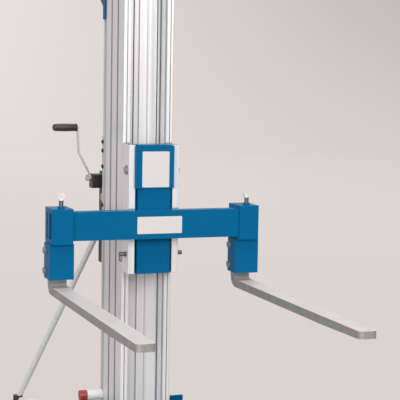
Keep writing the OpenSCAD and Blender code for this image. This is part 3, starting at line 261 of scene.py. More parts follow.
def sleeve_mask(tree, centre, reach, top):
    """1 within reach of an upright axis on either side of the middle plane, below top; 0 elsewhere."""
    axes = object_axes(tree)
    from_middle = math_node(tree, "ABSOLUTE", axes["X"])
    square = square_distance(tree, from_middle, centre.x, axes["Y"], centre.y)
    inside = math_node(tree, "LESS_THAN", square, reach ** 2)
    return math_node(tree, "MULTIPLY", inside, math_node(tree, "LESS_THAN", axes["Z"], top))


def seam_mask(tree, seams, reach, side):
    """Painted shade on the outer sides: strongest at each seam's Y and gone at reach from it.

    There is none nearer than side to the middle plane.
    """
    axes = object_axes(tree)
    outer = math_node(tree, "GREATER_THAN", math_node(tree, "ABSOLUTE", axes["X"]), side)
    near = None
    for y in seams:
        gap = math_node(tree, "ABSOLUTE", math_node(tree, "SUBTRACT", axes["Y"], y))
        seam_shade = map_range(tree, gap, SEAM_DEPTH, 0.0, 0.0, reach)
        near = math_node(tree, "MAXIMUM", near, seam_shade) if near else seam_shade
    return math_node(tree, "MULTIPLY", near, outer)


# Materials, with lengths in metres

# Colour of the painted shade in grooves, inside corners, along edges and at seams
PAINTED_SHADE = (0.05, 0.05, 0.055)
SHADE_REACH = 0.009
ARRIS = 0.0025
SEAM_REACH = 0.014
SEAM_EDGE = 0.006
BOOT = (0.02, 0.022, 0.025)
BOOT_R = 0.0205
BOOT_TOP = 0.0425
WORN_EDGE = 0.0012
THREAD_PITCH = 0.0018
HUB_FADE = 0.0006
FRONT_TREAD = 0.010
REAR_TREAD = 0.012


def extruded_aluminium(name, light, dark, stretch, sleeve=None, seams=None):
    """Drawn metal with streaks along its length and a little dulling in patches, with painted shade in its
    grooves, inside corners, along its edges and at its seams.

    sleeve gives the axis, radius and top of black sleeves on it.
    seams gives the seams' Y, their reach and the least distance from the middle plane.
    """
    mat, tree, shader = new_material(name, light, roughness=0.36, metallic=0.30)
    streaks = object_noise(tree, stretch, scale=1.0, detail=4.0, roughness=0.6)
    patches = object_noise(tree, (3.0, 3.0, 1.2), scale=2.0)
    tone = mix_colors(tree, map_range(tree, streaks, 0.0, 1.0), dark, light)
    dulled = mix_colors(tree, map_range(tree, patches, 0.0, 0.35, 0.45, 0.75), tone, dark)
    # Grooves and inside corners are darkened where they are occluded: painted shade
    open_face = map_range(tree, crevices(tree, SHADE_REACH), 0.0, 1.0, 0.50, 0.98)
    # Sharp edges, outer and inner, get a dark line: painted shade along the edges
    shaded_edges = mix_colors(tree, map_range(tree, edges(tree, ARRIS), 0.0, 0.8, 0.1, 1.0), dulled, PAINTED_SHADE)
    color = mix_colors(tree, open_face, PAINTED_SHADE, shaded_edges)
    # A dark band along each seam on the columns' sides: painted shade of the gaps between the columns and of
    # the groove before the rear rail
    if seams:
        color = mix_colors(tree, seam_mask(tree, *seams), color, PAINTED_SHADE)
    if sleeve:
        color = mix_colors(tree, sleeve_mask(tree, *sleeve), color, BOOT)
    tree.links.new(color, shader.inputs["Base Color"])
    tree.links.new(map_range(tree, streaks, 0.30, 0.46), shader.inputs["Roughness"])
    add_bump(tree, shader, streaks, strength=0.12, distance=0.0004)
    return mat


def powder_coat(name, color, deep, roughness, specular):
    """Powder coat: fine orange peel, a slow drift in tone and specks of paler wear along the edges."""
    mat, tree, shader = new_material(name, color, roughness, specular=specular)
    drift = object_noise(tree, EVEN, scale=9.0, detail=4.0)
    peel = object_noise(tree, EVEN, scale=620.0, detail=2.0)
    speck = object_noise(tree, EVEN, scale=140.0, detail=6.0, roughness=0.7)
    tone = mix_colors(tree, map_range(tree, drift, 0.0, 1.0), deep, color)
    specks = map_range(tree, speck, 0.0, 0.5, 0.52, 0.66)
    worn = math_node(tree, "MULTIPLY", edges(tree, WORN_EDGE), specks)
    tree.links.new(mix_colors(tree, worn, tone, scaled(color, 0.8, 0.06)), shader.inputs["Base Color"])
    tree.links.new(map_range(tree, drift, roughness - 0.05, roughness + 0.08), shader.inputs["Roughness"])
    add_bump(tree, shader, peel, strength=0.10, distance=0.0003)
    return mat


def plated(name, light, dark, roughness):
    """Plated steel: mottled, with soft patches of duller metal."""
    mat, tree, shader = new_material(name, light, roughness, metallic=0.8)
    mottle = object_noise(tree, EVEN, scale=70.0, detail=5.0, roughness=0.6)
    tone = mix_colors(tree, map_range(tree, mottle, 0.0, 1.0), dark, light)
    tree.links.new(tone, shader.inputs["Base Color"])
    tree.links.new(map_range(tree, mottle, roughness - 0.08, roughness + 0.12), shader.inputs["Roughness"])
    add_bump(tree, shader, mottle, strength=0.08, distance=0.0004)
    return mat


def thumb_screw(name, head, thread, neck):
    """A pale plated head over a dark threaded stem; neck is the height where they meet."""
    mat, tree, shader = new_material(name, head, roughness=0.40, metallic=0.45)
    height = object_axes(tree)["Z"]
    turns = math_node(tree, "SINE", math_node(tree, "MULTIPLY", height, 2 * math.pi / THREAD_PITCH))
    ridge = math_node(tree, "MULTIPLY", map_range(tree, turns, 0.0, 1.0, -1.0, 1.0),
                      math_node(tree, "LESS_THAN", height, neck))
    mottle = object_noise(tree, EVEN, scale=70.0, detail=5.0, roughness=0.6)
    plate = mix_colors(tree, map_range(tree, mottle, 0.0, 1.0), scaled(head, 0.85), head)
    # The thread's crests are painted paler and its roots darker: painted highlight and shade, on top of the
    # thread's bump
    stem = mix_colors(tree, ridge, thread, scaled(thread, 3))
    color = mix_colors(tree, math_node(tree, "GREATER_THAN", height, neck), stem, plate)
    tree.links.new(color, shader.inputs["Base Color"])
    tree.links.new(map_range(tree, mottle, 0.32, 0.52), shader.inputs["Roughness"])
    add_bump(tree, shader, ridge, strength=0.5, distance=0.0006)
    return mat


def fork_steel(name, worn, scale):
    """Forged steel: faces turned upwards are paler, partly worn bright by loads and partly painted light; the
    others are darker with their scale and with painted shade.
    """
    mat, tree, shader = new_material(name, worn, roughness=0.45, metallic=0.25)
    geometry = tree.nodes.new("ShaderNodeNewGeometry")
    split = tree.nodes.new("ShaderNodeSeparateXYZ")
    tree.links.new(geometry.outputs["Normal"], split.inputs["Vector"])
    grain = object_noise(tree, (1, 0.12, 1), scale=240.0, detail=5.0, roughness=0.65)
    mottle = object_noise(tree, EVEN, scale=34.0, detail=5.0, roughness=0.6)
    # Faces turned up are paler and the sides darker by their normal: painted light on top and painted shade
    # on the sides, over some real wear on top
    top = mix_colors(tree, map_range(tree, mottle, 0.0, 1.0), scaled(worn, 0.88), worn)
    side = mix_colors(tree, map_range(tree, grain, 0.0, 1.0), scaled(scale, 0.55), scale)
    painted_light_share = map_range(tree, split.outputs["Z"], 0.0, 1.0, 0.35, 0.85)
    tree.links.new(mix_colors(tree, painted_light_share, side, top), shader.inputs["Base Color"])
    tree.links.new(map_range(tree, mottle, 0.40, 0.55), shader.inputs["Roughness"])
    add_bump(tree, shader, grain, strength=0.15, distance=0.0004)
    return mat


def moulded(name, color, roughness, grain=420.0, coat=0.0, paler=1.5):
    """Moulded plastic or rubber with a fine grain and faint scuffs."""
    mat, tree, shader = new_material(name, color, roughness, coat=coat)
    fine = object_noise(tree, EVEN, scale=grain, detail=2.0)
    scuff = object_noise(tree, EVEN, scale=26.0, detail=6.0, roughness=0.65)
    scuffs = map_range(tree, scuff, 0.0, 0.6, 0.5, 0.75)
    tree.links.new(mix_colors(tree, scuffs, color, scaled(color, paler, 0.01)), shader.inputs["Base Color"])
    tree.links.new(map_range(tree, scuff, roughness, roughness + 0.12), shader.inputs["Roughness"])
    add_bump(tree, shader, fine, strength=0.15, distance=0.0003)
    return mat


def wheel_material(name, centre, hub_r):
    """Black tread outside hub_r around the axle, grey nylon disc inside it."""
    mat, tree, shader = new_material(name, (0.02, 0.02, 0.02), roughness=0.6)
    axes = object_axes(tree)
    square = square_distance(tree, axes["Y"], centre.y, axes["Z"], centre.z)
    outside = map_range(tree, square, 0.0, 1.0, (hub_r - HUB_FADE) ** 2, hub_r ** 2)
    scuff = object_noise(tree, EVEN, scale=60.0, detail=5.0, roughness=0.6)
    scuffs = map_range(tree, scuff, 0.0, 1.0)
    tread = mix_colors(tree, scuffs, (0.016, 0.016, 0.017), (0.045, 0.044, 0.042))
    disc = mix_colors(tree, scuffs, (0.20, 0.20, 0.21), (0.27, 0.27, 0.27))
    tree.links.new(mix_colors(tree, outside, disc, tread), shader.inputs["Base Color"])
    tree.links.new(map_range(tree, scuff, 0.45, 0.68), shader.inputs["Roughness"])
    add_bump(tree, shader, scuff, strength=0.12, distance=0.0004)
    return mat


def mast_seams():
    """Where shade is painted on the columns' sides: before column 1's rear rail and between the columns."""
    first_low, first_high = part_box("column_1")
    second_low, second_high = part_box("column_2")
    rail_front = first_low.y + second_high.y - second_low.y
    return (rail_front, first_low.y, second_low.y), SEAM_REACH, first_high.x - SEAM_EDGE


def foot_sleeves():
    """Axis, radius and top of the black sleeves at the lower ends of the braces."""
    low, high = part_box("brace_feet")
    return Vector((high.x - (high.y - low.y) / 2, (low.y + high.y) / 2, 0)), BOOT_R, BOOT_TOP


def screw_neck():
    """Height where a thumb screw's round head meets its stem."""
    low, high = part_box("left_lock_screw")
    return high.z - (high.x - low.x)


MAT = {
    "blue": powder_coat("blue_powder_coat", (0.0030, 0.122, 0.275), (0.0028, 0.116, 0.262),
                        roughness=0.30, specular=0.03),
    "mast": extruded_aluminium("extruded_aluminium", (0.84, 0.84, 0.85), (0.68, 0.68, 0.69),
                               stretch=(260, 260, 1.6), seams=mast_seams()),
    "leg": extruded_aluminium("leg_aluminium", (0.70, 0.70, 0.71), (0.54, 0.54, 0.55),
                              stretch=(260, 1.6, 260)),
    "tube": extruded_aluminium("tube_aluminium", (0.80, 0.80, 0.81), (0.62, 0.62, 0.63),
                               stretch=(160, 160, 6), sleeve=foot_sleeves()),
    "zinc": plated("zinc_plate", (0.62, 0.62, 0.62), (0.44, 0.44, 0.43), roughness=0.36),
    "fork": fork_steel("fork_steel", (0.62, 0.575, 0.565), (0.36, 0.35, 0.35)),
    "steel": plated("dark_steel", (0.38, 0.38, 0.385), (0.20, 0.20, 0.205), roughness=0.40),
    "pin": plated("pin_steel", (0.17, 0.17, 0.175), (0.08, 0.08, 0.085), roughness=0.38),
    "screw": thumb_screw("screw_plate", (0.74, 0.73, 0.71), (0.06, 0.06, 0.065), screw_neck()),
    "cable": plated("cable_steel", (0.13, 0.13, 0.135), (0.06, 0.06, 0.065), roughness=0.42),
    "black_paint": powder_coat("black_paint", (0.016, 0.016, 0.017), (0.011, 0.011, 0.012),
                               roughness=0.42, specular=0.4),
    "black_plastic": moulded("black_plastic", (0.014, 0.015, 0.015), roughness=0.40, coat=0.1, paler=2.2),
    "sheave": moulded("sheave_nylon", (0.022, 0.022, 0.024), roughness=0.45),
    "rubber": moulded("foot_rubber", (0.018, 0.018, 0.018), roughness=0.62, grain=300.0),
    "nylon": moulded("shoe_nylon", (0.78, 0.76, 0.70), roughness=0.45, paler=1.05),
    "white": moulded("collar_plastic", (0.76, 0.76, 0.74), roughness=0.38, coat=0.15, paler=1.05),
    "red": moulded("cap_plastic", (0.34, 0.028, 0.028), roughness=0.35, coat=0.15, paler=1.25),
    "plate": moulded("blank_plate", (0.66, 0.635, 0.62), roughness=0.42, grain=200.0, coat=0.1, paler=1.04),
}

NODE_MATERIALS = {
    "blue": "base_frame tongue face_plate cross_beam left_bracket right_bracket rear_handle",
    "mast": "column_1 column_2 column_3 carriage_body",
    "leg": "left_leg right_leg",
    "tube": "left_brace right_brace",
    "zinc": "leg_pins front_left_caster front_right_caster column_1_head column_2_brackets column_3_brackets "
            "drum drum_gear drum_shaft crank_shaft crank_arm crank_nut",
    "steel": "tongue_bolt left_bracket_bolts right_bracket_bolts",
    "pin": "retaining_pin",
    "screw": "left_lock_screw right_lock_screw",
    "fork": "left_fork right_fork",
    "rubber": "brace_feet",
    "sheave": "head_1_sheaves head_2_sheaves head_3_sheaves foot_2_sheaves foot_3_sheaves",
    "nylon": "column_2_shoes column_3_shoes carriage_shoes",
    "cable": "winch_cables stage_2_cables stage_3_cables carriage_cables drum_winding",
    "black_paint": "winch_frame winch_bolts brace_brackets",
    "black_plastic": "brake_cover crank_grip",
    "white": "lock_collar",
    "red": "lock_cap",
}


def dress(obj, material):
    obj.data.materials.clear()
    obj.data.materials.append(material)


for key, names in NODE_MATERIALS.items():
    for name in names.split():
        dress(nodes[name], MAT[key])

for end, tread in (("front", FRONT_TREAD), ("rear", REAR_TREAD)):
    for side, _ in SIDES:
        name = f"{end}_{side}_wheel"
        low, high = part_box(name)
        hub_r = (high.z - low.z) / 2 - tread
        dress(nodes[name], wheel_material(name + "_material", (low + high) / 2, hub_r))


# Helpers for the added pieces

def link(obj, material):
    bpy.context.scene.collection.objects.link(obj)
    dress(obj, material)
    return obj


def to_object(bm, name, material, smooth_angle=None):
    """Closes the work on a mesh: its faces look outwards, and edges under smooth_angle degrees are smooth."""
    bmesh.ops.recalc_face_normals(bm, faces=bm.faces[:])
    mesh = bpy.data.meshes.new(name)
    bm.to_mesh(mesh)
    bm.free()
    if smooth_angle:
        for polygon in mesh.polygons:
            polygon.use_smooth = True
        mesh.set_sharp_from_angle(angle=math.radians(smooth_angle))
    return link(bpy.data.objects.new(name, mesh), material)


def ring(bm, centre, side, other, radii, turn=0.0):
    """A loop of points around centre, one for each of the radii."""
    loop = []
    for k, radius in enumerate(radii):
        a = 2 * math.pi * k / len(radii) + turn
        loop.append(bm.verts.new(centre + radius * (math.cos(a) * side + math.sin(a) * other)))
    return loop


def bridge(bm, low, high):
    """Faces between two loops, either of which may be a single point."""
    steps = max(len(low), len(high))
    for k in range(steps):
        j = (k + 1) % steps
        if len(low) == 1:
            bm.faces.new((low[0], high[j], high[k]))
        elif len(high) == 1:
            bm.faces.new((low[k], low[j], high[0]))
        else:
            bm.faces.new((low[k], low[j], high[j], high[k]))


def close_tube(bm, loops):
    """Walls along the loops and a face at each end."""
    for low, high in zip(loops, loops[1:]):
        bridge(bm, low, high)
    if len(loops[0]) > 1:
        bm.faces.new(loops[0][::-1])
    if len(loops[-1]) > 1:
        bm.faces.new(loops[-1])


def across(axis):
    """A direction along axis and two across it."""
    axis = Vector(axis).normalized()
    side = axis.orthogonal().normalized()
    return axis, side, axis.cross(side)


def tube_rings(points):
    """Points of a path with two directions across it at each, carried along without twist."""
    last = len(points) - 1
    side = Vector((1, 0, 0))
    rings = []
    for i, point in enumerate(points):
        tangent = (points[min(i + 1, last)] - points[max(i - 1, 0)]).normalized()
        side = (side - tangent * side.dot(tangent)).normalized()
        rings.append((point, side, tangent.cross(side)))
    return rings


def line(start, end, step):
    """Points from start to end, in millimetres, about one step apart."""
    start, end = Vector(start), Vector(end)
    count = max(2, int(round((end - start).length / step)) + 1)
    return [start.lerp(end, i / (count - 1)) for i in range(count)]


def arc(x, y, z, r, first, last):
    """Points on a circle around an axle along X; angles count from +Y towards +Z."""
    steps = 24
    angles = [math.radians(first + (last - first) * i / steps) for i in range(steps + 1)]
    return [Vector((x, y + r * math.cos(a), z + r * math.sin(a))) for a in angles]


def to_row(points):
    return [row(*point) for point in points]


def lathe(name, profile, origin, axis, material, steps=48, smooth_angle=35):
    """A solid of revolution: profile of (along, radius) in metres, around axis through origin."""
    axis, side, other = across(axis)
    bm = bmesh.new()
    loops = []
    for along, radius in profile:
        centre = Vector(origin) + along * axis
        loops.append(ring(bm, centre, side, other, [radius] * (steps if radius > 0 else 1)))
    close_tube(bm, loops)
    return to_object(bm, name, material, smooth_angle)


# Lift cables, in millimetres: each rigid stretch rides on its body, and each free fall stays where it is
# drawn, on no body

STRANDS = 6
LAY = 45
CABLE_SIDES = 12
CABLE_STEP = 7
# A strand's section: the share of the radius between the strands, and what the strands add to it
STRAND_ROOT, STRAND_CREST = 0.86, 0.14


def cable(name, points):
    """A tube along a path, with a lobed section that twists once per lay."""
    radii = []
    for k in range(CABLE_SIDES):
        lobe = abs(math.cos(STRANDS / 2 * 2 * math.pi * k / CABLE_SIDES))
        radii.append(CABLE_R / 1000 * (STRAND_ROOT + STRAND_CREST * lobe))
    bm = bmesh.new()
    loops = []
    run = 0.0
    last = None
    for point, side, other in tube_rings(to_row(points)):
        if last is not None:
            run += (point - last).length
        last = point
        loops.append(ring(bm, point, side, other, radii, 2 * math.pi * 1000 * run / LAY))
    close_tube(bm, loops)
    piece = to_object(bm, name, MAT["cable"], smooth_angle=60)
    return piece


def add_stage_cables(k):
    """Over head k, down the back of column k and under foot k; then the fall up to head k - 1."""
    for side, sign in SIDES:
        x = sign * CABLE_X
        back_y = HEAD_Y[k] + PITCH_R
        fall_y = FOOT_Y[k] + PITCH_R
        path = arc(x, HEAD_Y[k], HEAD_Z, PITCH_R, 180, 0)
        path += line((x, back_y, HEAD_Z), (x, back_y, FOOT_Z), CABLE_STEP)[1:-1]
        path += arc(x, FOOT_Y[k], FOOT_Z, PITCH_R, 180, 360)
        piece = cable(f"stage_{k}_cable_{side}", path)
        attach(piece, f"column_{k}")
        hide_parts(f"stage_{k}_cables")
        fall = cable(f"stage_{k}_fall_{side}", line((x, fall_y, FOOT_Z), (x, fall_y, HEAD_Z), CABLE_STEP))
        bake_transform(fall)
        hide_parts(f"stage_{k}_cables")


add_stage_cables(2)
add_stage_cables(3)

# Angle that the cable follows round the drum, in degrees
LEAD_WRAP = 130


def add_winch_cables():
    """Over head 1 and down on the line that touches its sheave and the drum on opposite sides."""
    run = Vector((WINCH_Y - HEAD_Y[1], DRUM_Z - HEAD_Z))
    turn = math.degrees(math.atan2(run.y, run.x)) + math.degrees(math.acos((PITCH_R + LEAD_R) / run.length))
    out = Vector((0, math.cos(math.radians(turn)), math.sin(math.radians(turn))))
    for side, sign in SIDES:
        x = sign * CABLE_X
        top = Vector((x, HEAD_Y[1], HEAD_Z)) + PITCH_R * out
        foot = Vector((x, WINCH_Y, DRUM_Z)) - LEAD_R * out
        path = arc(x, HEAD_Y[1], HEAD_Z, PITCH_R, 180, turn)
        path += line(top, foot, CABLE_STEP)[1:-1]
        path += arc(x, WINCH_Y, DRUM_Z, LEAD_R, 180 + turn, 180 + LEAD_WRAP + turn)
        piece = cable(f"winch_cable_{side}", path)
        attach(piece, "base")
        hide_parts("winch_cables")


add_winch_cables()


# Ends of the carriage cables at the carriage's lugs: heights in millimetres, profiles in metres

LUG_TOP = 1081.0
LUG_UNDER = 1066.0
CABLE_IN_SLEEVE = 30
SLEEVE_L = 40
STUD_DROP = 14
NUT_DROP = 8
SLEEVE_PROFILE = [(0.0, 0.0), (0.0, 0.0044), (0.0006, 0.0050), (0.034, 0.0050), (0.0385, 0.0041),
                  (SLEEVE_L / 1000, 0.0032), (SLEEVE_L / 1000, 0.0)]
NUT_PROFILE = [(0.0, 0.0), (0.0, 0.0068), (0.0010, 0.0080), (0.0070, 0.0080), (0.0080, 0.0068), (0.0080, 0.0)]
STUD_L = 0.029
STUD_PITCH = 0.00125
STUD_THREADS = 10
STUD_CREST = 0.0006
STUD_TIP_R = 0.0032
STUD_CREST_R = 0.0040
STUD_ROOT_R = 0.0034
STUD_SHANK_R = 0.0038


def stud_profile():
    """A thread's crests and roots along the stud, then its plain shank."""
    profile = [(0.0, 0.0), (0.0, STUD_TIP_R)]
    for i in range(1, STUD_THREADS + 1):
        root = i * STUD_PITCH
        profile += [(root - STUD_CREST, STUD_CREST_R), (root, STUD_ROOT_R)]
    return profile + [(STUD_L, STUD_SHANK_R), (STUD_L, 0.0)]


def add_carriage_cables():
    """From the carriage's lugs up to head 3, each with a sleeve, a stud and a nut at its lug."""
    y = HEAD_Y[3] - PITCH_R
    upright = (0, 0, 1)
    for side, sign in SIDES:
        x = sign * CABLE_X
        path = line((x, y, LUG_TOP + CABLE_IN_SLEEVE), (x, y, HEAD_Z), CABLE_STEP)
        fall = cable(f"carriage_cable_{side}", path)
        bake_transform(fall)
        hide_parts("carriage_cables")
        sleeve = lathe(f"cable_sleeve_{side}", SLEEVE_PROFILE, row(x, y, LUG_TOP), upright, MAT["zinc"])
        stud = lathe(f"cable_stud_{side}", stud_profile(), row(x, y, LUG_UNDER - STUD_DROP), upright,
                     MAT["zinc"], steps=32, smooth_angle=30)
        nut = lathe(f"cable_nut_{side}", NUT_PROFILE, row(x, y, LUG_UNDER - NUT_DROP), upright,
                    MAT["zinc"], steps=6, smooth_angle=20)
        for piece in (sleeve, stud, nut):
            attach(piece, "carriage")


add_carriage_cables()


def add_windings():
    """Both cables' loops on the drum, each ending in a short straight tail."""
    rings = 32
    tail = Vector((0, 0, 2 * CABLE_R))
    for (side, _), (x0, step) in zip(SIDES, WINDINGS):
        path = []
        for i in range(LOOPS * rings + 1):
            a = 2 * math.pi * i / rings
            out = WOUND_R * Vector((0, math.cos(a), math.sin(a)))
            path.append(Vector((x0 + step * i / rings, WINCH_Y, DRUM_Z)) + out)
        piece = cable(f"drum_winding_{side}", [path[0] - tail, *path, path[-1] + tail])
        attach(piece, "drum")
        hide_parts("drum_winding")


add_windings()


# Plain plates on the face plate and the cross beam: corners as (x, z) in millimetres

PLATE_T = 0.5
PLATE_RIM = 0.3
PLATE_CORNER = 3
PLATE_INSET = 0.5
CORNER_STEPS = 6


def plain_plate(name, low, high, carrier):
    """A thin plate with round corners on the front of the node that carries it."""
    front = 1000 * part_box(carrier)[0].y + ORIGIN_Y
    left, right = low[0] + PLATE_CORNER, high[0] - PLATE_CORNER
    bottom, top = low[1] + PLATE_CORNER, high[1] - PLATE_CORNER
    outline = []
    for x, z, start in ((right, top, 0), (left, top, 90), (left, bottom, 180), (right, bottom, 270)):
        for i in range(CORNER_STEPS + 1):
            a = math.radians(start + 90 * i / CORNER_STEPS)
            outline.append((x + PLATE_CORNER * math.cos(a), z + PLATE_CORNER * math.sin(a)))
    middle_x, middle_z = (low[0] + high[0]) / 2, (low[1] + high[1]) / 2
    inner = [(x - math.copysign(PLATE_INSET, x - middle_x), z - math.copysign(PLATE_INSET, z - middle_z))
             for x, z in outline]
    bm = bmesh.new()
    back = [bm.verts.new(row(x, front, z)) for x, z in outline]
    rim = [bm.verts.new(row(x, front - PLATE_RIM, z)) for x, z in outline]
    face = [bm.verts.new(row(x, front - PLATE_T, z)) for x, z in inner]
    close_tube(bm, [back, rim, face])
    plate = to_object(bm, name, MAT["plate"])
    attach(plate, "carriage")


plain_plate("face_blank", (-48, 980), (53, 1108), "face_plate")
plain_plate("beam_blank", (-76, 818), (91, 879), "cross_beam")


# Grip of the crank: a barrel with a collar at the arm and a domed end

def add_grip():
    low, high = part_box("crank_grip")
    length = high.x - low.x
    radius = (high.z - low.z) / 2
    centre = Vector((low.x, (low.y + high.y) / 2, (low.z + high.z) / 2))
    dome = [(0.0, 0.0), (0.0006, 0.30), (0.002, 0.58), (0.005, 0.80), (0.010, 0.92)]
    collar = [(0.011, 0.90), (0.009, 0.90), (0.007, 1.0), (0.002, 1.0), (0.0, 0.93), (0.0, 0.0)]
    barrel_start, ends, steps = 0.014, 0.027, 14
    barrel_share, swell = 0.93, 0.06
    profile = [(along, share * radius) for along, share in dome]
    for i in range(steps + 1):
        share = barrel_share + swell * math.sin(math.pi * i / steps)
        profile.append((barrel_start + i / steps * (length - ends), share * radius))
    profile += [(length - back, share * radius) for back, share in collar]
    grip = lathe("grip_barrel", profile, centre, (1, 0, 0), MAT["black_plastic"], steps=56)
    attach(grip, "crank_grip")
    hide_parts("crank_grip")


add_grip()


# Washers under the bolt heads, in metres

WASHER_T = 0.0018
BRACKET_BOLT_Z = (0.689, 0.761)
BRACKET_WASHER = (0.0068, 0.0148)
TONGUE_WASHER = (0.0078, 0.0168)


def washer(name, origin, axis, inner, outer, body):
    """A washer with broken edges, in metres."""
    thickness, edge, steps = WASHER_T, WASHER_T / 4, 40
    profile = [(0, inner), (0, outer - edge), (edge, outer), (thickness - edge, outer),
               (thickness, outer - edge), (thickness, inner)]
    axis, side, other = across(axis)
    bm = bmesh.new()
    loops = [ring(bm, Vector(origin) + along * axis, side, other, [radius] * steps)
             for along, radius in profile]
    for low, high in zip(loops, loops[1:] + loops[:1]):
        bridge(bm, low, high)
    piece = to_object(bm, name, MAT["steel"], smooth_angle=35)
    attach(piece, body)


def add_washers():
    for side, _ in SIDES:
        low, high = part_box(f"{side}_bracket_bolts")
        box_low, box_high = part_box(f"{side}_bracket")
        y = (low.y + high.y) / 2
        for i, z in enumerate(BRACKET_BOLT_Z):
            for face, x, out in (("outer", box_high.x, 1), ("inner", box_low.x, -1)):
                washer(f"{side}_{face}_washer_{i}", (x, y, z), (out, 0, 0), *BRACKET_WASHER, f"{side}_fork")
    low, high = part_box("tongue_bolt")
    carriage_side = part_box("carriage_body")[1].x
    for side, sign in SIDES:
        place = (sign * carriage_side, (low.y + high.y) / 2, (low.z + high.z) / 2)
        washer(f"tongue_bolt_washer_{side}", place, (sign, 0, 0), *TONGUE_WASHER, "carriage")


add_washers()


# Welds on the fork frame and the base, in millimetres

WELD_STEP = 1.6
WELD_SIDES = 8
BEAM_WELD_R = 2.6
BASE_WELD_R = 2.8
# Shares of the radius: what stays, what ripples with each ring, what is random; and the ends' share
WELD_CORE, WELD_RIPPLE, WELD_NOISE = 0.84, 0.16, 0.05
RIPPLE_TURN = 0.9
WELD_END = 0.5
# How far a weld on the beam lies in front of the tongue and off the beam
WELD_FRONT, WELD_OFF = 1.2, 1.0
# Ends of the right-hand welds on the base
LUG_WELD = ((140, 114, 142.8), (188, 114, 142.8))
SOCKET_WELD = ((139, 26, 91.5), (139, 94, 91.5))


def weld_bead(name, start, end, radius, body, seed):
    """A weld along a corner: a tube whose thickness ripples along its length."""
    rng = np.random.default_rng(seed)
    path = line(start, end, WELD_STEP)
    bm = bmesh.new()
    loops = []
    for i, (point, side, other) in enumerate(tube_rings(to_row(path))):
        wave = WELD_RIPPLE * abs(math.sin(i * RIPPLE_TURN))
        ripple = radius / 1000 * (WELD_CORE + wave + WELD_NOISE * rng.random())
        if i in (0, len(path) - 1):
            ripple *= WELD_END
        loops.append(ring(bm, point, side, other, [ripple] * WELD_SIDES))
    close_tube(bm, loops)
    bead = to_object(bm, name, MAT["blue"], smooth_angle=70)
    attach(bead, body)


def add_welds():
    tongue_low, tongue_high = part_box("tongue")
    beam_low, beam_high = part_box("cross_beam")
    half = 1000 * tongue_high.x
    y = 1000 * tongue_low.y + ORIGIN_Y - WELD_FRONT
    for i, z in enumerate((1000 * beam_high.z + WELD_OFF, 1000 * beam_low.z - WELD_OFF)):
        weld_bead(f"beam_weld_{i}", (-half, y, z), (half, y, z), BEAM_WELD_R, "carriage", i)
    for side, sign in SIDES:
        for name, ends, seed in (("lug_weld", LUG_WELD, 7), ("socket_weld", SOCKET_WELD, 8)):
            start, end = ((sign * x, y, z) for x, y, z in ends)
            weld_bead(f"{name}_{side}", start, end, BASE_WELD_R, "base", seed)


add_welds()


# Soft edges on the carried-over solids: width in metres and the nodes that have it

EDGES = {
    0.0025: "lock_cap brace_feet",
    0.0022: "left_fork right_fork cross_beam",
    0.0016: "tongue",
    0.0014: "left_bracket right_bracket",
    0.0012: "face_plate crank_arm lock_collar",
    0.0009: "left_lock_screw right_lock_screw",
    0.0008: "crank_nut brake_cover tongue_bolt retaining_pin",
    0.0007: "left_bracket_bolts right_bracket_bolts winch_bolts",
}
EDGE_SEGMENTS = 2
EDGE_ANGLE = 40


def soften(name, width):
    mod = nodes[name].modifiers.new("edge", "BEVEL")
    mod.width = width
    mod.segments = EDGE_SEGMENTS
    mod.limit_method = "ANGLE"
    mod.angle_limit = math.radians(EDGE_ANGLE)
    mod.use_clamp_overlap = True
    mod.harden_normals = False


for width, names in EDGES.items():
    for name in names.split():
        soften(name, width)


# Floor, backdrop and light, in metres

BACKGROUND = (0.730, 0.672, 0.651)
BACKDROP_LEVEL = 0.81
# Where the backdrop's level starts and stops to drift along each axis
DRIFT_X = (3.4, 10.2)
DRIFT_Y = (2.0, 18.0)
DRIFT_Z = (0.0, 2.6)
# Its drift on the left and on the right, and the shares of that at the back and high up
DRIFT_LEFT, DRIFT_RIGHT = 0.22, -0.14
DRIFT_BACK, DRIFT_HIGH = 0.45, 0.55
SKY_COLOR = (0.94, 0.95, 1.0)
SKY_LEVEL = 0.50
FLOOR_COLOR = (0.08, 0.075, 0.072)
FLOOR_R = 20.0
FLOOR_BEND = 3.0
WALL_TOP = 6.0
FLOOR_STEPS = 128
BEND_STEPS = 12


def backdrop_level(tree):
    """Level of the backdrop: even near the hoist, and on the wall paler on the left than on the right, as
    painted light.
    """
    axes = object_axes(tree)
    sideways = map_range(tree, axes["X"], DRIFT_LEFT, DRIFT_RIGHT, *DRIFT_X)
    back = map_range(tree, axes["Y"], 0.0, DRIFT_BACK, *DRIFT_Y)
    high = map_range(tree, axes["Z"], 0.0, DRIFT_HIGH, *DRIFT_Z)
    drift = math_node(tree, "MULTIPLY", sideways, math_node(tree, "ADD", back, high))
    return math_node(tree, "ADD", drift, BACKDROP_LEVEL)


def background_rays(tree):
    """1 for a ray that shows the background: from the camera, or by way of metal or glass."""
    path = tree.nodes.new("ShaderNodeLightPath")
    mirrored = math_node(tree, "MAXIMUM", path.outputs["Is Glossy Ray"], path.outputs["Is Transmission Ray"])
    return math_node(tree, "MAXIMUM", path.outputs["Is Camera Ray"], mirrored)


def floor_material():
    """Dull floor that adds the background's own level where the background is seen."""
    mat, tree, shader = new_material("floor_material", FLOOR_COLOR, roughness=0.8, specular=0.1)
    glow = tree.nodes.new("ShaderNodeEmission")
    glow.inputs["Color"].default_value = (*BACKGROUND, 1)
    strength = math_node(tree, "MULTIPLY", background_rays(tree), backdrop_level(tree))
    tree.links.new(strength, glow.inputs["Strength"])
    both = tree.nodes.new("ShaderNodeAddShader")
    tree.links.new(shader.outputs[0], both.inputs[0])
    tree.links.new(glow.outputs[0], both.inputs[1])
    tree.links.new(both.outputs[0], tree.nodes["Material Output"].inputs["Surface"])
    return mat


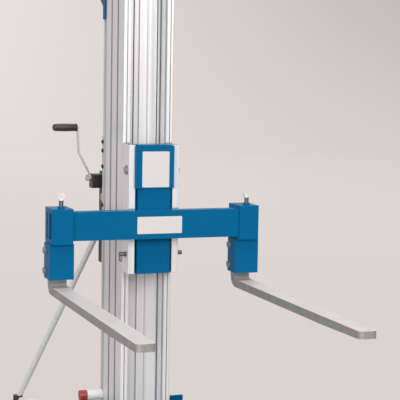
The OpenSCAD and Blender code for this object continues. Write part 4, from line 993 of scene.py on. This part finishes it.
def add_stage():
    """A round floor whose edge sweeps up into a low wall."""
    flat_r = FLOOR_R - FLOOR_BEND
    profile = [(share * flat_r, 0.0) for share in (0.3, 0.7, 0.95, 1.0)]
    for i in range(1, BEND_STEPS + 1):
        a = math.pi / 2 * i / BEND_STEPS
        profile.append((flat_r + FLOOR_BEND * math.sin(a), FLOOR_BEND - FLOOR_BEND * math.cos(a)))
    profile.append((FLOOR_R, WALL_TOP))
    bm = bmesh.new()
    x_axis, y_axis = Vector((1, 0, 0)), Vector((0, 1, 0))
    loops = [ring(bm, Vector((0, 0, z)), x_axis, y_axis, [r] * FLOOR_STEPS) for r, z in profile]
    bm.faces.new(loops[0])
    for low, high in zip(loops, loops[1:]):
        bridge(bm, high, low)
    mesh = bpy.data.meshes.new("floor")
    bm.to_mesh(mesh)
    bm.free()
    for polygon in mesh.polygons:
        polygon.use_smooth = True
    floor = link(bpy.data.objects.new("floor", mesh), floor_material())
    floor.visible_shadow = False
    floor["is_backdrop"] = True


def add_lamp(name, kind, place, aim, strength):
    data = bpy.data.lights.new(name, kind)
    data.energy = strength
    lamp = bpy.data.objects.new(name, data)
    bpy.context.scene.collection.objects.link(lamp)
    lamp.location = place
    lamp.rotation_euler = (Vector(aim) - Vector(place)).to_track_quat("-Z", "Y").to_euler()
    return data


def add_area(name, place, aim, size, power, color):
    """A square lamp, with its size in metres and its power in watts."""
    data = add_lamp(name, "AREA", place, aim, power)
    data.size = size
    data.color = color


def add_sun(name, place, aim, strength, angle):
    """Even light from one side, soft by its angle in radians."""
    data = add_lamp(name, "SUN", place, aim, strength)
    data.angle = angle


def add_world():
    """Even light from all round, and the background's own colour where it is seen."""
    world = bpy.data.worlds.new("studio")
    world.use_nodes = True
    tree = world.node_tree
    light = tree.nodes["Background"]
    light.inputs["Color"].default_value = (*SKY_COLOR, 1)
    light.inputs["Strength"].default_value = SKY_LEVEL
    seen = tree.nodes.new("ShaderNodeBackground")
    seen.inputs["Color"].default_value = (*BACKGROUND, 1)
    seen.inputs["Strength"].default_value = 1.0
    mix = tree.nodes.new("ShaderNodeMixShader")
    tree.links.new(background_rays(tree), mix.inputs["Fac"])
    tree.links.new(light.outputs[0], mix.inputs[1])
    tree.links.new(seen.outputs[0], mix.inputs[2])
    tree.links.new(mix.outputs[0], tree.nodes["World Output"].inputs["Surface"])
    bpy.context.scene.world = world


add_stage()
add_world()
add_area("key", (0.8, -5.0, 3.2), (0, 0, 0.9), size=2.4, power=128, color=(1.0, 0.985, 0.96))
add_area("fill", (-2.6, -4.4, 1.2), (0, 0, 0.7), size=2.0, power=70, color=(1.0, 0.985, 0.97))
add_sun("side", (-4.6, -3.4, 1.6), (0, 0, 0.6), strength=1.1, angle=0.5)
add_sun("top", (0.2, -0.6, 4.6), (0, -0.2, 0.8), strength=2.03, angle=0.9)
bpy.context.scene.view_settings.view_transform = "Standard"

low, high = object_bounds()
